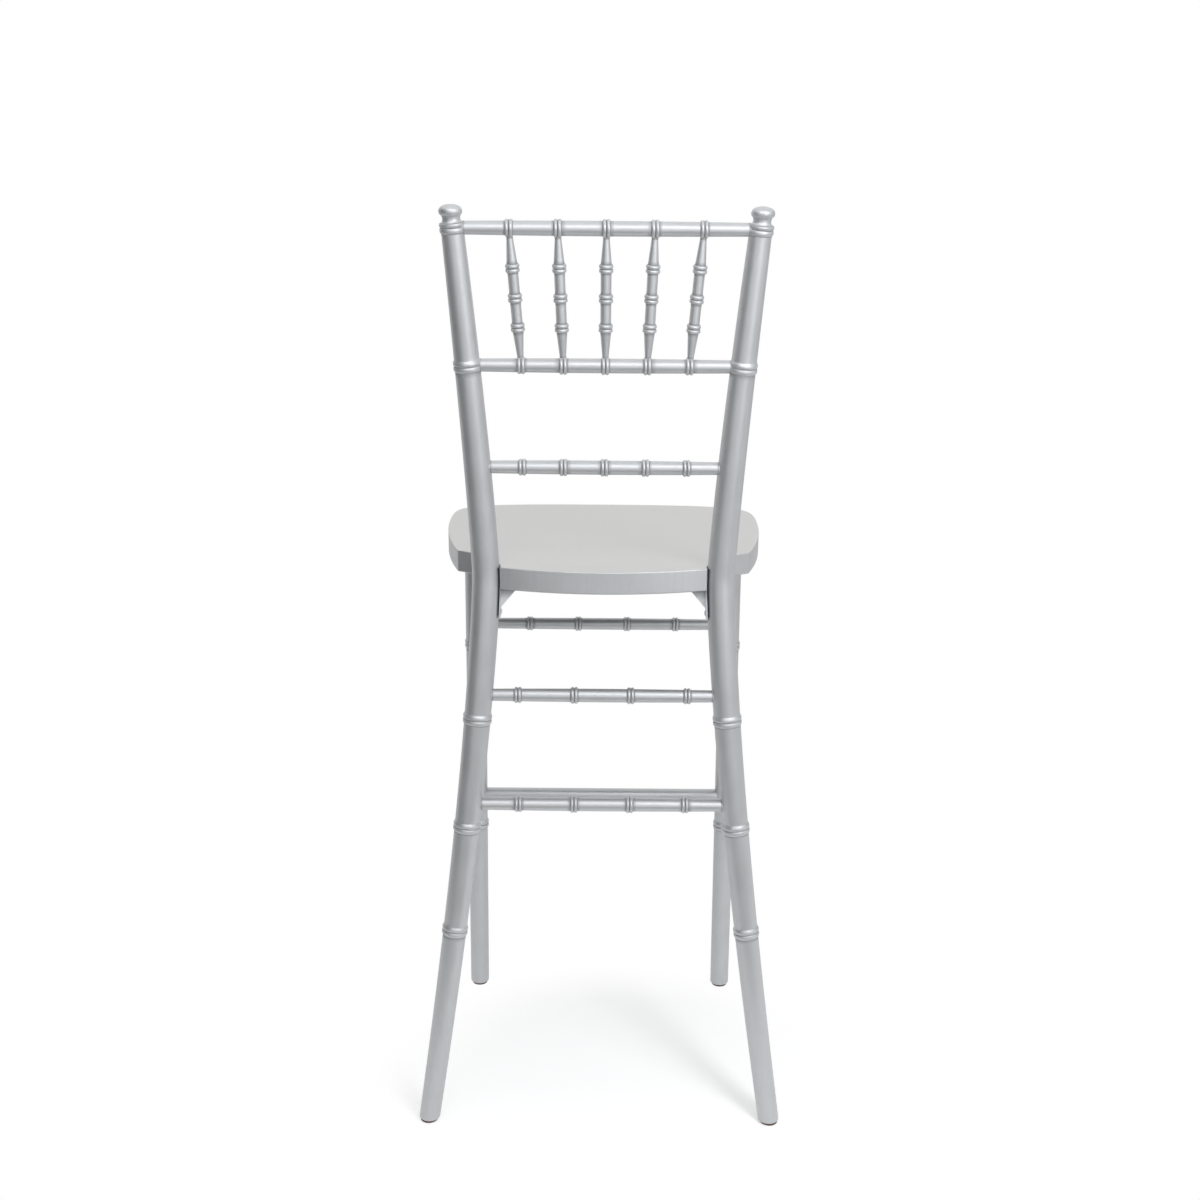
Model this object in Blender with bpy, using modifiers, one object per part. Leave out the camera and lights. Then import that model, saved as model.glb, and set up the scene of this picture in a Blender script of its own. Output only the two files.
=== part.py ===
"""Ballroom bar stool with bent rear posts, ring-turned rails and spindles, and a notched slab seat.

Metres, +Z up. The sitter faces -Y, so the back is at +Y and the sitter's left is at +X.
The origin is on the floor, under the middle of the stool's box.
"""

import math

import bmesh
import bpy
from mathutils import Matrix, Vector

# Height of the seat's top, and of the back rails one above the other, axis to axis
SEAT_HEIGHT = 0.750
LUMBAR_RAIL_ABOVE_SEAT = 0.124
LOWER_BACK_RAIL_ABOVE_LUMBAR = 0.1225
CREST_RAIL_ABOVE_LOWER_BACK = 0.1553

# Fits between touching pieces
FIT_CLEARANCE = 0.0003
HOLE_END_CLEARANCE = 0.0006

# Seat slab, seen from above
SEAT_THICKNESS = 0.028
SEAT_DEPTH = 0.4016
SEAT_WIDTH = 0.427
SEAT_WIDEST_FROM_FRONT = 0.099
SEAT_FRONT_CORNER_PULL = 0.208
SEAT_SIDE_FRONT_PULL = 0.080
SEAT_SIDE_REAR_PULL = 0.063
SEAT_EAR_SIDE_ANGLE = 17.5
SEAT_EAR_WIDTH = 0.372
SEAT_EAR_FROM_REAR = 0.1095
SEAT_EAR_REAR_ANGLE = 32.3
SEAT_EAR_REAR_LENGTH = 0.026
SEAT_TONGUE_BOW = 0.022
SEAT_EDGE_ROUND = 0.002
SEAT_SHARP_EDGE_ANGLE = 40.0

# Rear posts: centre line at the waist, the top and the floor, and radii there
POST_AXIS_FROM_SEAT_REAR = 0.033
POST_WAIST_BELOW_SEAT_TOP = 0.015
POST_WAIST_SPACING = 0.288
POST_TOP_SPACING = 0.350
POST_FOOT_SPACING = 0.4515
POST_TOP_RAKE = 0.053
POST_FOOT_KICK = 0.0406
POST_UPPER_BEND = 1.22
POST_LOWER_BEND = 1.33
POST_THICKEST_BELOW_SEAT_TOP = 0.090
POST_THICKEST_RADIUS = 0.0172
POST_TOP_RADIUS = 0.0130
POST_FOOT_RADIUS = 0.0136
POST_UPPER_TAPER = 1.7

# Finial turned on the top of each rear post
FINIAL_RADIUS = 0.0134
FINIAL_DOME_HEIGHT = 0.0076
FINIAL_UNDERSIDE_HEIGHT = 0.0052
FINIAL_NECK_RADIUS = 0.0102
FINIAL_NECK_FOOT_RADIUS = 0.0123
FINIAL_NECK_LENGTH = 0.0056
FINIAL_ABOVE_CREST_RAIL = 0.0046
FINIAL_FLAT_RADIUS = 0.0030

# Front legs: centre line at the seat and the floor, and radii there
FRONT_LEG_FROM_SEAT_FRONT = 0.0552
FRONT_LEG_TOP_SPACING = 0.368
FRONT_LEG_FOOT_SPACING = 0.3732
FRONT_LEG_FOOT_KICK = 0.0023
FRONT_LEG_TOP_RADIUS = 0.0150
FRONT_LEG_FOOT_RADIUS = 0.0138
FRONT_LEG_TENON_RADIUS = 0.0100
FRONT_LEG_TENON_LENGTH = 0.016

# Turned ring pairs on posts and legs
LEG_RING_HEIGHTS = (0.2695, 0.4107, 0.5538)
LEG_BEAD_WIDTH = 0.0070
LEG_BEAD_RISE = 0.0016
LEG_BEAD_CREST_SHARE = 0.42
RING_GROOVE_SHARE = 0.25

# Turned rails: radii, ring pairs and sockets
RAIL_RADIUS = 0.0085
RAIL_END_RADIUS = 0.0076
RAIL_BEAD_WIDTH = 0.0045
RAIL_BEAD_RISE = 0.0021
ROUND_BEAD_CREST_SHARE = 0.5
RAIL_SOCKET_DEPTH = 0.016
FOOTREST_RADIUS = 0.0095

# Stretcher heights, floor to axis
UPPER_STRETCHER_HEIGHT = 0.584
REAR_LOWER_STRETCHER_HEIGHT = 0.440
FOOTREST_HEIGHT = 0.316

# Ring pairs along the rails
STRETCHER_RINGS = 4
STRETCHER_RING_SPACING = 0.0705
LUMBAR_RINGS = 5
LUMBAR_RING_SPACING = 0.049

# Back spindles
SPINDLES = 5
SPINDLE_TOP_SPACING = 0.0548
SPINDLE_BOTTOM_SPACING = 0.0489
SPINDLE_RADIUS = 0.0062
SPINDLE_NECK_RADIUS = 0.0037
SPINDLE_BEAD_WIDTH = 0.0051
SPINDLE_BEAD_RISE = 0.0021
SPINDLE_RING_SPACING = 0.034
SPINDLE_RINGS = 3

# Foot glides
GLIDE_RADIUS = 0.0115
GLIDE_EDGE_ROUND = 0.0012
GLIDE_THICKNESS = 0.003
GLIDE_PIN_RADIUS = 0.0018
GLIDE_PIN_LENGTH = 0.013

# Steel seat brackets and their screws
BRACKET_THICKNESS = 0.0020
BRACKET_WIDTH = 0.016
BRACKET_POST_LEG = 0.039
BRACKET_SEAT_LEG = 0.036
BRACKET_GUSSET_WIDTH = 0.0195
BRACKET_GUSSET_HEIGHT = 0.025
SCREW_FROM_BRACKET_END = 0.008
SCREW_SHANK_RADIUS = 0.0018
SCREW_HEAD_RADIUS = 0.0036
SCREW_CROWN_RADIUS = 0.0024
SCREW_HEAD_HEIGHT = 0.0016
SCREW_LENGTH = 0.014
SCREW_POINT_LENGTH = 0.003
SCREW_POINT_RADIUS = 0.0006

# Facets around each kind of piece
POST_SIDES = 12
RAIL_SIDES = 10
SPINDLE_SIDES = 8
SMALL_SIDES = 10
HOLE_SIDES = 10
POST_STATION_STEP = 0.055
SEAT_CURVE_STEPS = 9
FINIAL_STEPS = 4
FINIAL_UNDERSIDE_STEPS = 2

SEAT_UNDERSIDE = SEAT_HEIGHT - SEAT_THICKNESS
LUMBAR_RAIL_HEIGHT = SEAT_HEIGHT + LUMBAR_RAIL_ABOVE_SEAT
LOWER_BACK_RAIL_HEIGHT = LUMBAR_RAIL_HEIGHT + LOWER_BACK_RAIL_ABOVE_LUMBAR
CREST_RAIL_HEIGHT = LOWER_BACK_RAIL_HEIGHT + CREST_RAIL_ABOVE_LOWER_BACK
FINIAL_BOTTOM = CREST_RAIL_HEIGHT + FINIAL_ABOVE_CREST_RAIL
FINIAL_MIDDLE = FINIAL_BOTTOM + FINIAL_NECK_LENGTH + FINIAL_UNDERSIDE_HEIGHT
OVERALL_HEIGHT = FINIAL_MIDDLE + FINIAL_DOME_HEIGHT
POST_WAIST_HEIGHT = SEAT_HEIGHT - POST_WAIST_BELOW_SEAT_TOP
POST_THICKEST_HEIGHT = SEAT_HEIGHT - POST_THICKEST_BELOW_SEAT_TOP
SIDE_UPPER_STRETCHER_HEIGHT = (UPPER_STRETCHER_HEIGHT + REAR_LOWER_STRETCHER_HEIGHT) / 2
SIDE_LOWER_STRETCHER_HEIGHT = (REAR_LOWER_STRETCHER_HEIGHT + FOOTREST_HEIGHT) / 2
SEAT_FRONT_Y = -SEAT_DEPTH / 2
SEAT_REAR_Y = SEAT_DEPTH / 2
POST_WAIST_Y = SEAT_REAR_Y - POST_AXIS_FROM_SEAT_REAR
FRONT_LEG_TOP_Y = SEAT_FRONT_Y + FRONT_LEG_FROM_SEAT_FRONT
LEG_BOTTOM = GLIDE_THICKNESS + FIT_CLEARANCE
STOOL_NAME = "ballroom_bar_stool"
SIDES_OF_STOOL = {"left": 1, "right": -1}
FLIP = Vector((-1, 1, 1))
PARABOLA_PULL = 2 / 3
QUARTER_ARC_PULL = 4 / 3 * math.tan(math.pi / 8)
WELD_DISTANCE = 0.00001


def rear_reach():
    """How far back the finials and the rear feet reach, from the middle of the seat."""
    finial = post_centre(FINIAL_MIDDLE).y + FINIAL_RADIUS
    foot = post_centre(0).y + POST_FOOT_RADIUS
    return max(finial, foot)


def post_centre(height, side=1):
    """Centre line of a bent rear post at this height; side is 1 on the left and -1 on the right."""
    waist_x = POST_WAIST_SPACING / 2
    if height >= POST_WAIST_HEIGHT:
        along = (height - POST_WAIST_HEIGHT) / (OVERALL_HEIGHT - POST_WAIST_HEIGHT)
        share = along ** POST_UPPER_BEND
        splay = POST_TOP_SPACING / 2 - waist_x
        lean = POST_TOP_RAKE
    else:
        along = (POST_WAIST_HEIGHT - height) / POST_WAIST_HEIGHT
        share = along ** POST_LOWER_BEND
        splay = POST_FOOT_SPACING / 2 - waist_x
        lean = POST_FOOT_KICK
    return Vector((side * (waist_x + splay * share), POST_WAIST_Y + lean * share, height))


def post_radius(height):
    """Radius of a rear post between its rings, thickest below the seat."""
    if height >= POST_THICKEST_HEIGHT:
        along = (height - POST_THICKEST_HEIGHT) / (CREST_RAIL_HEIGHT - POST_THICKEST_HEIGHT)
        return POST_THICKEST_RADIUS - (POST_THICKEST_RADIUS - POST_TOP_RADIUS) * along ** POST_UPPER_TAPER
    along = height / POST_THICKEST_HEIGHT
    return POST_FOOT_RADIUS + (POST_THICKEST_RADIUS - POST_FOOT_RADIUS) * along


def leg_centre(height, side=1):
    """Centre line of a straight front leg at this height."""
    along = 1 - height / SEAT_UNDERSIDE
    top_x = FRONT_LEG_TOP_SPACING / 2
    splay = FRONT_LEG_FOOT_SPACING / 2 - top_x
    return Vector((side * (top_x + splay * along), FRONT_LEG_TOP_Y - FRONT_LEG_FOOT_KICK * along, height))


def leg_radius(height):
    """Radius of a front leg between its rings."""
    along = height / SEAT_UNDERSIDE
    return FRONT_LEG_FOOT_RADIUS + (FRONT_LEG_TOP_RADIUS - FRONT_LEG_FOOT_RADIUS) * along


def ring_pair(place, radius, bead_width, bead_rise, crest_share):
    """Profile stations (place, radius) of two turned beads with a groove between them.

    crest_share is how far each bead's crest lies from the groove, as a share of the bead's width.
    """
    crest = radius + bead_rise
    groove = radius + bead_rise * RING_GROOVE_SHARE
    crest_distance = bead_width * crest_share
    return [
        (place - bead_width, radius),
        (place - crest_distance, crest),
        (place, groove),
        (place + crest_distance, crest),
        (place + bead_width, radius),
    ]


def spread(count, spacing):
    """Places of evenly spaced rings about the middle of a piece."""
    return [(index - (count - 1) / 2) * spacing for index in range(count)]


def clear_scene():
    for obj in list(bpy.data.objects):
        bpy.data.objects.remove(obj, do_unlink=True)


def make_collection(name):
    collection = bpy.data.collections.new(name)
    bpy.context.scene.collection.children.link(collection)
    return collection


def make_material(name, colour, roughness, metallic):
    material = bpy.data.materials.new(name)
    material.use_nodes = True
    shader = material.node_tree.nodes["Principled BSDF"]
    shader.inputs["Base Color"].default_value = (*colour, 1.0)
    shader.inputs["Roughness"].default_value = roughness
    shader.inputs["Metallic"].default_value = metallic
    return material


clear_scene()
PARTS = make_collection(STOOL_NAME)
CUTTERS = make_collection(STOOL_NAME + "_cutters")
SILVER_PAINT = make_material("silver_paint", (0.56, 0.56, 0.57), 0.42, 0.75)
STEEL = make_material("zinc_plated_steel", (0.66, 0.67, 0.68), 0.30, 1.0)
GLIDE_PLASTIC = make_material("brown_plastic", (0.12, 0.06, 0.04), 0.55, 0.0)

STOOL = bpy.data.objects.new(STOOL_NAME + "_frame", None)
STOOL.location = (0, -(SEAT_FRONT_Y + rear_reach()) / 2, 0)
PARTS.objects.link(STOOL)


def add_object(name, mesh, material):
    obj = bpy.data.objects.new(name, mesh)
    obj.parent = STOOL
    obj.data.materials.append(material)
    PARTS.objects.link(obj)
    return obj


def aim(obj, origin, direction):
    """Places an object with its own Z axis along a direction."""
    obj.location = origin
    obj.rotation_mode = "QUATERNION"
    obj.rotation_quaternion = Vector(direction).to_track_quat("Z", "Y")


def turned(name, stations, sides, material):
    """A turned piece about its own Z axis, from profile stations (place, radius) given bottom to top."""
    bottom = stations[0][0]
    top = stations[-1][0]
    profile = [(bottom, 0.0)] + stations + [(top, 0.0)]
    mesh = bpy.data.meshes.new(name)
    points = [(radius, 0, place) for place, radius in reversed(profile)]
    edges = [(index, index + 1) for index in range(len(points) - 1)]
    mesh.from_pydata(points, edges, [])
    obj = add_object(name, mesh, material)
    screw = obj.modifiers.new("turning", "SCREW")
    screw.axis = "Z"
    screw.steps = sides
    screw.render_steps = sides
    screw.use_merge_vertices = True
    screw.merge_threshold = WELD_DISTANCE
    screw.use_smooth_shade = True
    return obj


def mesh_from_curve(curve_object, name, material):
    """Turns a curve object into a welded mesh piece, so that it can be drilled."""
    bpy.context.view_layer.update()
    evaluated = curve_object.evaluated_get(bpy.context.evaluated_depsgraph_get())
    mesh = bpy.data.meshes.new_from_object(evaluated)
    mesh.name = name
    shape = bmesh.new()
    shape.from_mesh(mesh)
    bmesh.ops.remove_doubles(shape, verts=shape.verts, dist=WELD_DISTANCE)
    bmesh.ops.recalc_face_normals(shape, faces=shape.faces)
    shape.to_mesh(mesh)
    shape.free()
    mesh.materials.clear()
    bpy.data.objects.remove(curve_object, do_unlink=True)
    return add_object(name, mesh, material)


def add_helper(name, shape):
    """A cutter or joining plate, kept out of renders."""
    mesh = bpy.data.meshes.new(name)
    shape.to_mesh(mesh)
    shape.free()
    helper = bpy.data.objects.new(name, mesh)
    helper.parent = STOOL
    helper.hide_render = True
    helper.display_type = "WIRE"
    CUTTERS.objects.link(helper)
    return helper


def add_boolean(obj, purpose, operation, helper):
    boolean = obj.modifiers.new(purpose, "BOOLEAN")
    boolean.operation = operation
    boolean.solver = "EXACT"
    boolean.object = helper


class Cutter:
    """Holes and flat cuts to be taken out of one piece."""

    def __init__(self):
        self.shape = bmesh.new()

    def drill(self, start, end, radius):
        """A round hole along a line, with flats that clear the given radius."""
        axis = Vector(end) - Vector(start)
        turn = axis.to_track_quat("Z", "Y").to_matrix().to_4x4()
        place = Matrix.Translation((Vector(start) + Vector(end)) / 2) @ turn
        flat_radius = (radius + FIT_CLEARANCE) / math.cos(math.pi / HOLE_SIDES)
        bmesh.ops.create_cone(
            self.shape,
            cap_ends=True,
            segments=HOLE_SIDES,
            radius1=flat_radius,
            radius2=flat_radius,
            depth=axis.length,
            matrix=place,
        )

    def block(self, low, high):
        """A box between two corners."""
        size = Vector(high) - Vector(low)
        middle = (Vector(high) + Vector(low)) / 2
        place = Matrix.Translation(middle) @ Matrix.Diagonal(size).to_4x4()
        bmesh.ops.create_cube(self.shape, size=1.0, matrix=place)

    def cut(self, obj, purpose="holes"):
        """Adds the cutter to the scene and takes it out of the piece."""
        helper = add_helper(f"{obj.name}_{purpose}", self.shape)
        add_boolean(obj, purpose, "DIFFERENCE", helper)


def rail_ends(height, centre, radius):
    """Tenon ends of a rail that runs across between a left and a right leg at this height."""
    reach = centre(height).x - radius(height) + RAIL_SOCKET_DEPTH
    depth = centre(height).y
    return Vector((reach, depth, height)), Vector((-reach, depth, height))


def side_stretcher_ends(height, side):
    """Tenon ends of a stretcher from a rear post to the front leg on the same side."""
    rear = post_centre(height, side)
    front = leg_centre(height, side)
    forward = (front - rear).normalized()
    start = rear + forward * (post_radius(height) - RAIL_SOCKET_DEPTH)
    end = front - forward * (leg_radius(height) - RAIL_SOCKET_DEPTH)
    return start, end


def socket(cutter, tenon_end, other_end, radius):
    """Drills the blind hole that takes one end of a rail."""
    outward = (tenon_end - other_end).normalized()
    bottom = tenon_end + outward * HOLE_END_CLEARANCE
    mouth = tenon_end - outward * (RAIL_SOCKET_DEPTH + POST_THICKEST_RADIUS)
    cutter.drill(mouth, bottom, radius)


def across_rails():
    """(name, tenon ends, tenon radius, legs that carry it) of each rail across the stool."""
    rear = (
        ("crest_rail", CREST_RAIL_HEIGHT),
        ("lower_back_rail", LOWER_BACK_RAIL_HEIGHT),
        ("lumbar_rail", LUMBAR_RAIL_HEIGHT),
        ("rear_upper_stretcher", UPPER_STRETCHER_HEIGHT),
        ("rear_lower_stretcher", REAR_LOWER_STRETCHER_HEIGHT),
    )
    rails = [
        (name, rail_ends(height, post_centre, post_radius), RAIL_END_RADIUS, "rear")
        for name, height in rear
    ]
    front_ends = rail_ends(UPPER_STRETCHER_HEIGHT, leg_centre, leg_radius)
    rails.append(("front_upper_stretcher", front_ends, RAIL_END_RADIUS, "front"))
    footrest_ends = rail_ends(FOOTREST_HEIGHT, leg_centre, leg_radius)
    rails.append(("footrest", footrest_ends, FOOTREST_RADIUS, "front"))
    return rails


def side_rails(side):
    """(name, tenon ends) of the two stretchers on one side; the first end is in the rear post."""
    word = "left" if side > 0 else "right"
    return [
        (f"side_upper_stretcher_{word}", side_stretcher_ends(SIDE_UPPER_STRETCHER_HEIGHT, side)),
        (f"side_lower_stretcher_{word}", side_stretcher_ends(SIDE_LOWER_STRETCHER_HEIGHT, side)),
    ]


def finial_stations():
    """Profile of the finial, from the neck above the top rings to the dome."""
    stations = [
        (FINIAL_BOTTOM, FINIAL_NECK_FOOT_RADIUS),
        (FINIAL_BOTTOM + FINIAL_NECK_LENGTH / 2, FINIAL_NECK_RADIUS),
    ]
    for step in range(-FINIAL_UNDERSIDE_STEPS, FINIAL_STEPS):
        angle = math.pi / 2 * step / FINIAL_STEPS
        rise = FINIAL_DOME_HEIGHT if step > 0 else FINIAL_UNDERSIDE_HEIGHT
        stations.append((FINIAL_MIDDLE + rise * math.sin(angle), FINIAL_RADIUS * math.cos(angle)))
    stations.append((OVERALL_HEIGHT, FINIAL_FLAT_RADIUS))
    return stations


def post_stations():
    """(height, radius) stations of a rear post from below the floor cut to the finial."""
    ring_heights = list(LEG_RING_HEIGHTS) + [LOWER_BACK_RAIL_HEIGHT, CREST_RAIL_HEIGHT]
    stations = []
    for height in ring_heights:
        radius = post_radius(height)
        stations += ring_pair(height, radius, LEG_BEAD_WIDTH, LEG_BEAD_RISE, LEG_BEAD_CREST_SHARE)
    straight_top = CREST_RAIL_HEIGHT - LEG_BEAD_WIDTH
    count = math.ceil(straight_top / POST_STATION_STEP)
    for index in range(count):
        height = index * straight_top / count
        near_ring = any(abs(height - ring) < 2 * LEG_BEAD_WIDTH for ring in ring_heights)
        if not near_ring:
            stations.append((height, post_radius(height)))
    stations.append((-POST_FOOT_RADIUS, post_radius(0)))
    below_finial = [station for station in sorted(stations) if station[0] < FINIAL_BOTTOM]
    return below_finial + finial_stations()


def make_rear_post(word, side):
    """Bent rear post: one swept, ring-turned length of wood with sockets for the rails."""
    stations = post_stations()
    curve = bpy.data.curves.new("rear_post_path", "CURVE")
    curve.dimensions = "3D"
    curve.bevel_depth = 1.0
    curve.bevel_resolution = POST_SIDES // 2 - 2
    curve.use_fill_caps = True
    spline = curve.splines.new("POLY")
    spline.points.add(len(stations) - 1)
    for point, (height, radius) in zip(spline.points, stations):
        point.co = (*post_centre(height, side), 1.0)
        point.radius = radius
    path = bpy.data.objects.new("rear_post_path", curve)
    PARTS.objects.link(path)
    post = mesh_from_curve(path, f"rear_post_{word}", SILVER_PAINT)
    foot = post_centre(0, side)
    margin = Vector((1, 1, 1)) * 4 * POST_FOOT_RADIUS
    floor_cut = Cutter()
    floor_cut.block(foot - margin, foot + Vector((margin.x, margin.y, LEG_BOTTOM)))
    floor_cut.cut(post, "floor_cut")
    cutter = Cutter()
    for _, (left_end, right_end), radius, legs in across_rails():
        if legs == "rear":
            near, far = (left_end, right_end) if side > 0 else (right_end, left_end)
            socket(cutter, near, far, radius)
    for _, (rear_end, front_end) in side_rails(side):
        socket(cutter, rear_end, front_end, RAIL_END_RADIUS)
    drill_glide_hole(cutter, foot)
    head, tip = post_screw_line(side)
    cutter.drill(head, tip, SCREW_SHANK_RADIUS)
    cutter.cut(post)
    return post


def make_front_leg(word, side):
    """Straight turned front leg with a tenon into the seat and sockets for the rails."""
    top = leg_centre(SEAT_UNDERSIDE, side)
    foot = leg_centre(0, side)
    axis = (top - foot).normalized()
    shoulder = SEAT_UNDERSIDE - FIT_CLEARANCE
    stations = [(LEG_BOTTOM, leg_radius(LEG_BOTTOM))]
    for height in LEG_RING_HEIGHTS:
        radius = leg_radius(height)
        stations += ring_pair(height, radius, LEG_BEAD_WIDTH, LEG_BEAD_RISE, LEG_BEAD_CREST_SHARE)
    stations += [
        (shoulder, leg_radius(shoulder)),
        (shoulder, FRONT_LEG_TENON_RADIUS),
        (SEAT_UNDERSIDE + FRONT_LEG_TENON_LENGTH, FRONT_LEG_TENON_RADIUS),
    ]
    leg = turned(f"front_leg_{word}", stations, POST_SIDES, SILVER_PAINT)
    aim(leg, foot, axis)
    cutter = Cutter()
    for _, (left_end, right_end), radius, legs in across_rails():
        if legs == "front":
            near, far = (left_end, right_end) if side > 0 else (right_end, left_end)
            socket(cutter, near, far, radius)
    for _, (rear_end, front_end) in side_rails(side):
        socket(cutter, front_end, rear_end, RAIL_END_RADIUS)
    drill_glide_hole(cutter, foot)
    cutter.cut(leg)
    return leg


def rail_stations(length, ring_places):
    """Profile of a rail that thins a little towards its plain tenons, with ring pairs along it."""
    visible = length / 2 - RAIL_SOCKET_DEPTH

    def radius_at(place):
        share = min(abs(place) / visible, 1.0) ** 2
        return RAIL_RADIUS - (RAIL_RADIUS - RAIL_END_RADIUS) * share

    stations = [(-length / 2, RAIL_END_RADIUS), (-visible, RAIL_END_RADIUS)]
    for place in ring_places:
        radius = radius_at(place)
        stations += ring_pair(place, radius, RAIL_BEAD_WIDTH, RAIL_BEAD_RISE, ROUND_BEAD_CREST_SHARE)
    stations += [(visible, RAIL_END_RADIUS), (length / 2, RAIL_END_RADIUS)]
    return stations


def make_ringed_rail(name, start, end, ring_places):
    """A ring-turned rail between two tenon ends."""
    stations = rail_stations((end - start).length, ring_places)
    rail = turned(name, stations, RAIL_SIDES, SILVER_PAINT)
    aim(rail, (start + end) / 2, end - start)
    return rail


def make_footrest(start, end):
    """The plain round bar across the front."""
    half = (end - start).length / 2
    rail = turned("footrest", [(-half, FOOTREST_RADIUS), (half, FOOTREST_RADIUS)], POST_SIDES, SILVER_PAINT)
    aim(rail, (start + end) / 2, end - start)
    return rail


def spindle_line(place):
    """Bottom and top of one spindle's axis, on the axes of the two back rails."""
    bottom = post_centre(LOWER_BACK_RAIL_HEIGHT)
    bottom.x = place * SPINDLE_BOTTOM_SPACING
    top = post_centre(CREST_RAIL_HEIGHT)
    top.x = place * SPINDLE_TOP_SPACING
    return bottom, top


def make_spindle(index, place):
    """A back spindle with three ring pairs, coned down to the necks that fit the rails."""
    bottom, top = spindle_line(place)
    half = (top - bottom).length / 2
    shoulder = half - RAIL_RADIUS - RAIL_BEAD_RISE
    stations = [(-half, SPINDLE_NECK_RADIUS), (-shoulder, SPINDLE_NECK_RADIUS)]
    for ring in spread(SPINDLE_RINGS, SPINDLE_RING_SPACING):
        stations += ring_pair(
            ring, SPINDLE_RADIUS, SPINDLE_BEAD_WIDTH, SPINDLE_BEAD_RISE, ROUND_BEAD_CREST_SHARE
        )
    stations += [(shoulder, SPINDLE_NECK_RADIUS), (half, SPINDLE_NECK_RADIUS)]
    spindle = turned(f"spindle_{index}", stations, SPINDLE_SIDES, SILVER_PAINT)
    aim(spindle, (bottom + top) / 2, top - bottom)
    return spindle


def drill_spindle_holes(rail, at_top):
    """Holes for the spindle necks, from each spindle's end on the rail axis to outside the rail."""
    cutter = Cutter()
    for place in spread(SPINDLES, 1):
        bottom, top = spindle_line(place)
        upward = (top - bottom).normalized()
        out = RAIL_RADIUS + 2 * RAIL_BEAD_RISE
        if at_top:
            cutter.drill(top - upward * out, top + upward * HOLE_END_CLEARANCE, SPINDLE_NECK_RADIUS)
        else:
            cutter.drill(bottom - upward * HOLE_END_CLEARANCE, bottom + upward * out, SPINDLE_NECK_RADIUS)
    cutter.cut(rail)


def make_rails():
    """Every rail and stretcher across and along the stool."""
    spindle_places = {
        "crest_rail": spread(SPINDLES, SPINDLE_TOP_SPACING),
        "lower_back_rail": spread(SPINDLES, SPINDLE_BOTTOM_SPACING),
        "lumbar_rail": spread(LUMBAR_RINGS, LUMBAR_RING_SPACING),
    }
    stretcher_places = spread(STRETCHER_RINGS, STRETCHER_RING_SPACING)
    for name, (left_end, right_end), _, _ in across_rails():
        if name == "footrest":
            make_footrest(left_end, right_end)
            continue
        rail = make_ringed_rail(name, left_end, right_end, spindle_places.get(name, stretcher_places))
        if name in ("crest_rail", "lower_back_rail"):
            drill_spindle_holes(rail, at_top=name == "crest_rail")
    for side in SIDES_OF_STOOL.values():
        for name, (rear_end, front_end) in side_rails(side):
            make_ringed_rail(name, rear_end, front_end, stretcher_places)


def tongue_half_width():
    """Half the width of the seat between the rear posts, which it meets side on."""
    heights = (SEAT_UNDERSIDE, POST_WAIST_HEIGHT, SEAT_HEIGHT)
    return min(post_centre(height).x - post_radius(height) for height in heights) - FIT_CLEARANCE


def seat_outline():
    """Control points of the left half of the seat's edge: (point, handle before, handle after).

    A handle of None makes that stretch straight. A quarter-round pocket fits the front of the post.
    """
    half = SEAT_WIDTH / 2
    widest = Vector((half, SEAT_FRONT_Y + SEAT_WIDEST_FROM_FRONT, 0))
    front = Vector((0, SEAT_FRONT_Y, 0))
    ear = Vector((SEAT_EAR_WIDTH / 2, SEAT_REAR_Y - SEAT_EAR_FROM_REAR, 0))
    rear_lean = math.radians(SEAT_EAR_REAR_ANGLE)
    ear_inner = ear + Vector((-math.cos(rear_lean), math.sin(rear_lean), 0)) * SEAT_EAR_REAR_LENGTH
    tongue = tongue_half_width()
    pocket_radius = POST_WAIST_SPACING / 2 - tongue
    pocket_front = Vector((POST_WAIST_SPACING / 2, POST_WAIST_Y - pocket_radius, 0))
    pocket_side = Vector((tongue, POST_WAIST_Y, 0))
    pocket_corner = Vector((tongue, pocket_front.y, 0))
    corner = Vector((tongue, SEAT_REAR_Y - SEAT_TONGUE_BOW, 0))
    rear = Vector((0, SEAT_REAR_Y, 0))
    lean = math.radians(SEAT_EAR_SIDE_ANGLE)
    ear_before = ear + Vector((math.sin(lean), -math.cos(lean), 0)) * SEAT_SIDE_REAR_PULL
    crown = Vector((tongue / 2, SEAT_REAR_Y, 0))
    across = Vector((SEAT_FRONT_CORNER_PULL, 0, 0))
    forward = Vector((0, SEAT_SIDE_FRONT_PULL, 0))
    backward = Vector((0, SEAT_SIDE_REAR_PULL, 0))
    return [
        (front, front - across, front + across),
        (widest, widest - forward, widest + backward),
        (ear, ear_before, None),
        (ear_inner, None, None),
        (pocket_front, None, pocket_front.lerp(pocket_corner, QUARTER_ARC_PULL)),
        (pocket_side, pocket_side.lerp(pocket_corner, QUARTER_ARC_PULL), None),
        (corner, None, corner.lerp(crown, PARABOLA_PULL)),
        (rear, rear.lerp(crown, PARABOLA_PULL), rear.lerp(crown * FLIP, PARABOLA_PULL)),
    ]


def mirrored(entry):
    """The same control point on the right half, with its handles swapped because the edge runs back."""
    point, before, after = entry
    return (
        point * FLIP,
        None if after is None else after * FLIP,
        None if before is None else before * FLIP,
    )


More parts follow.
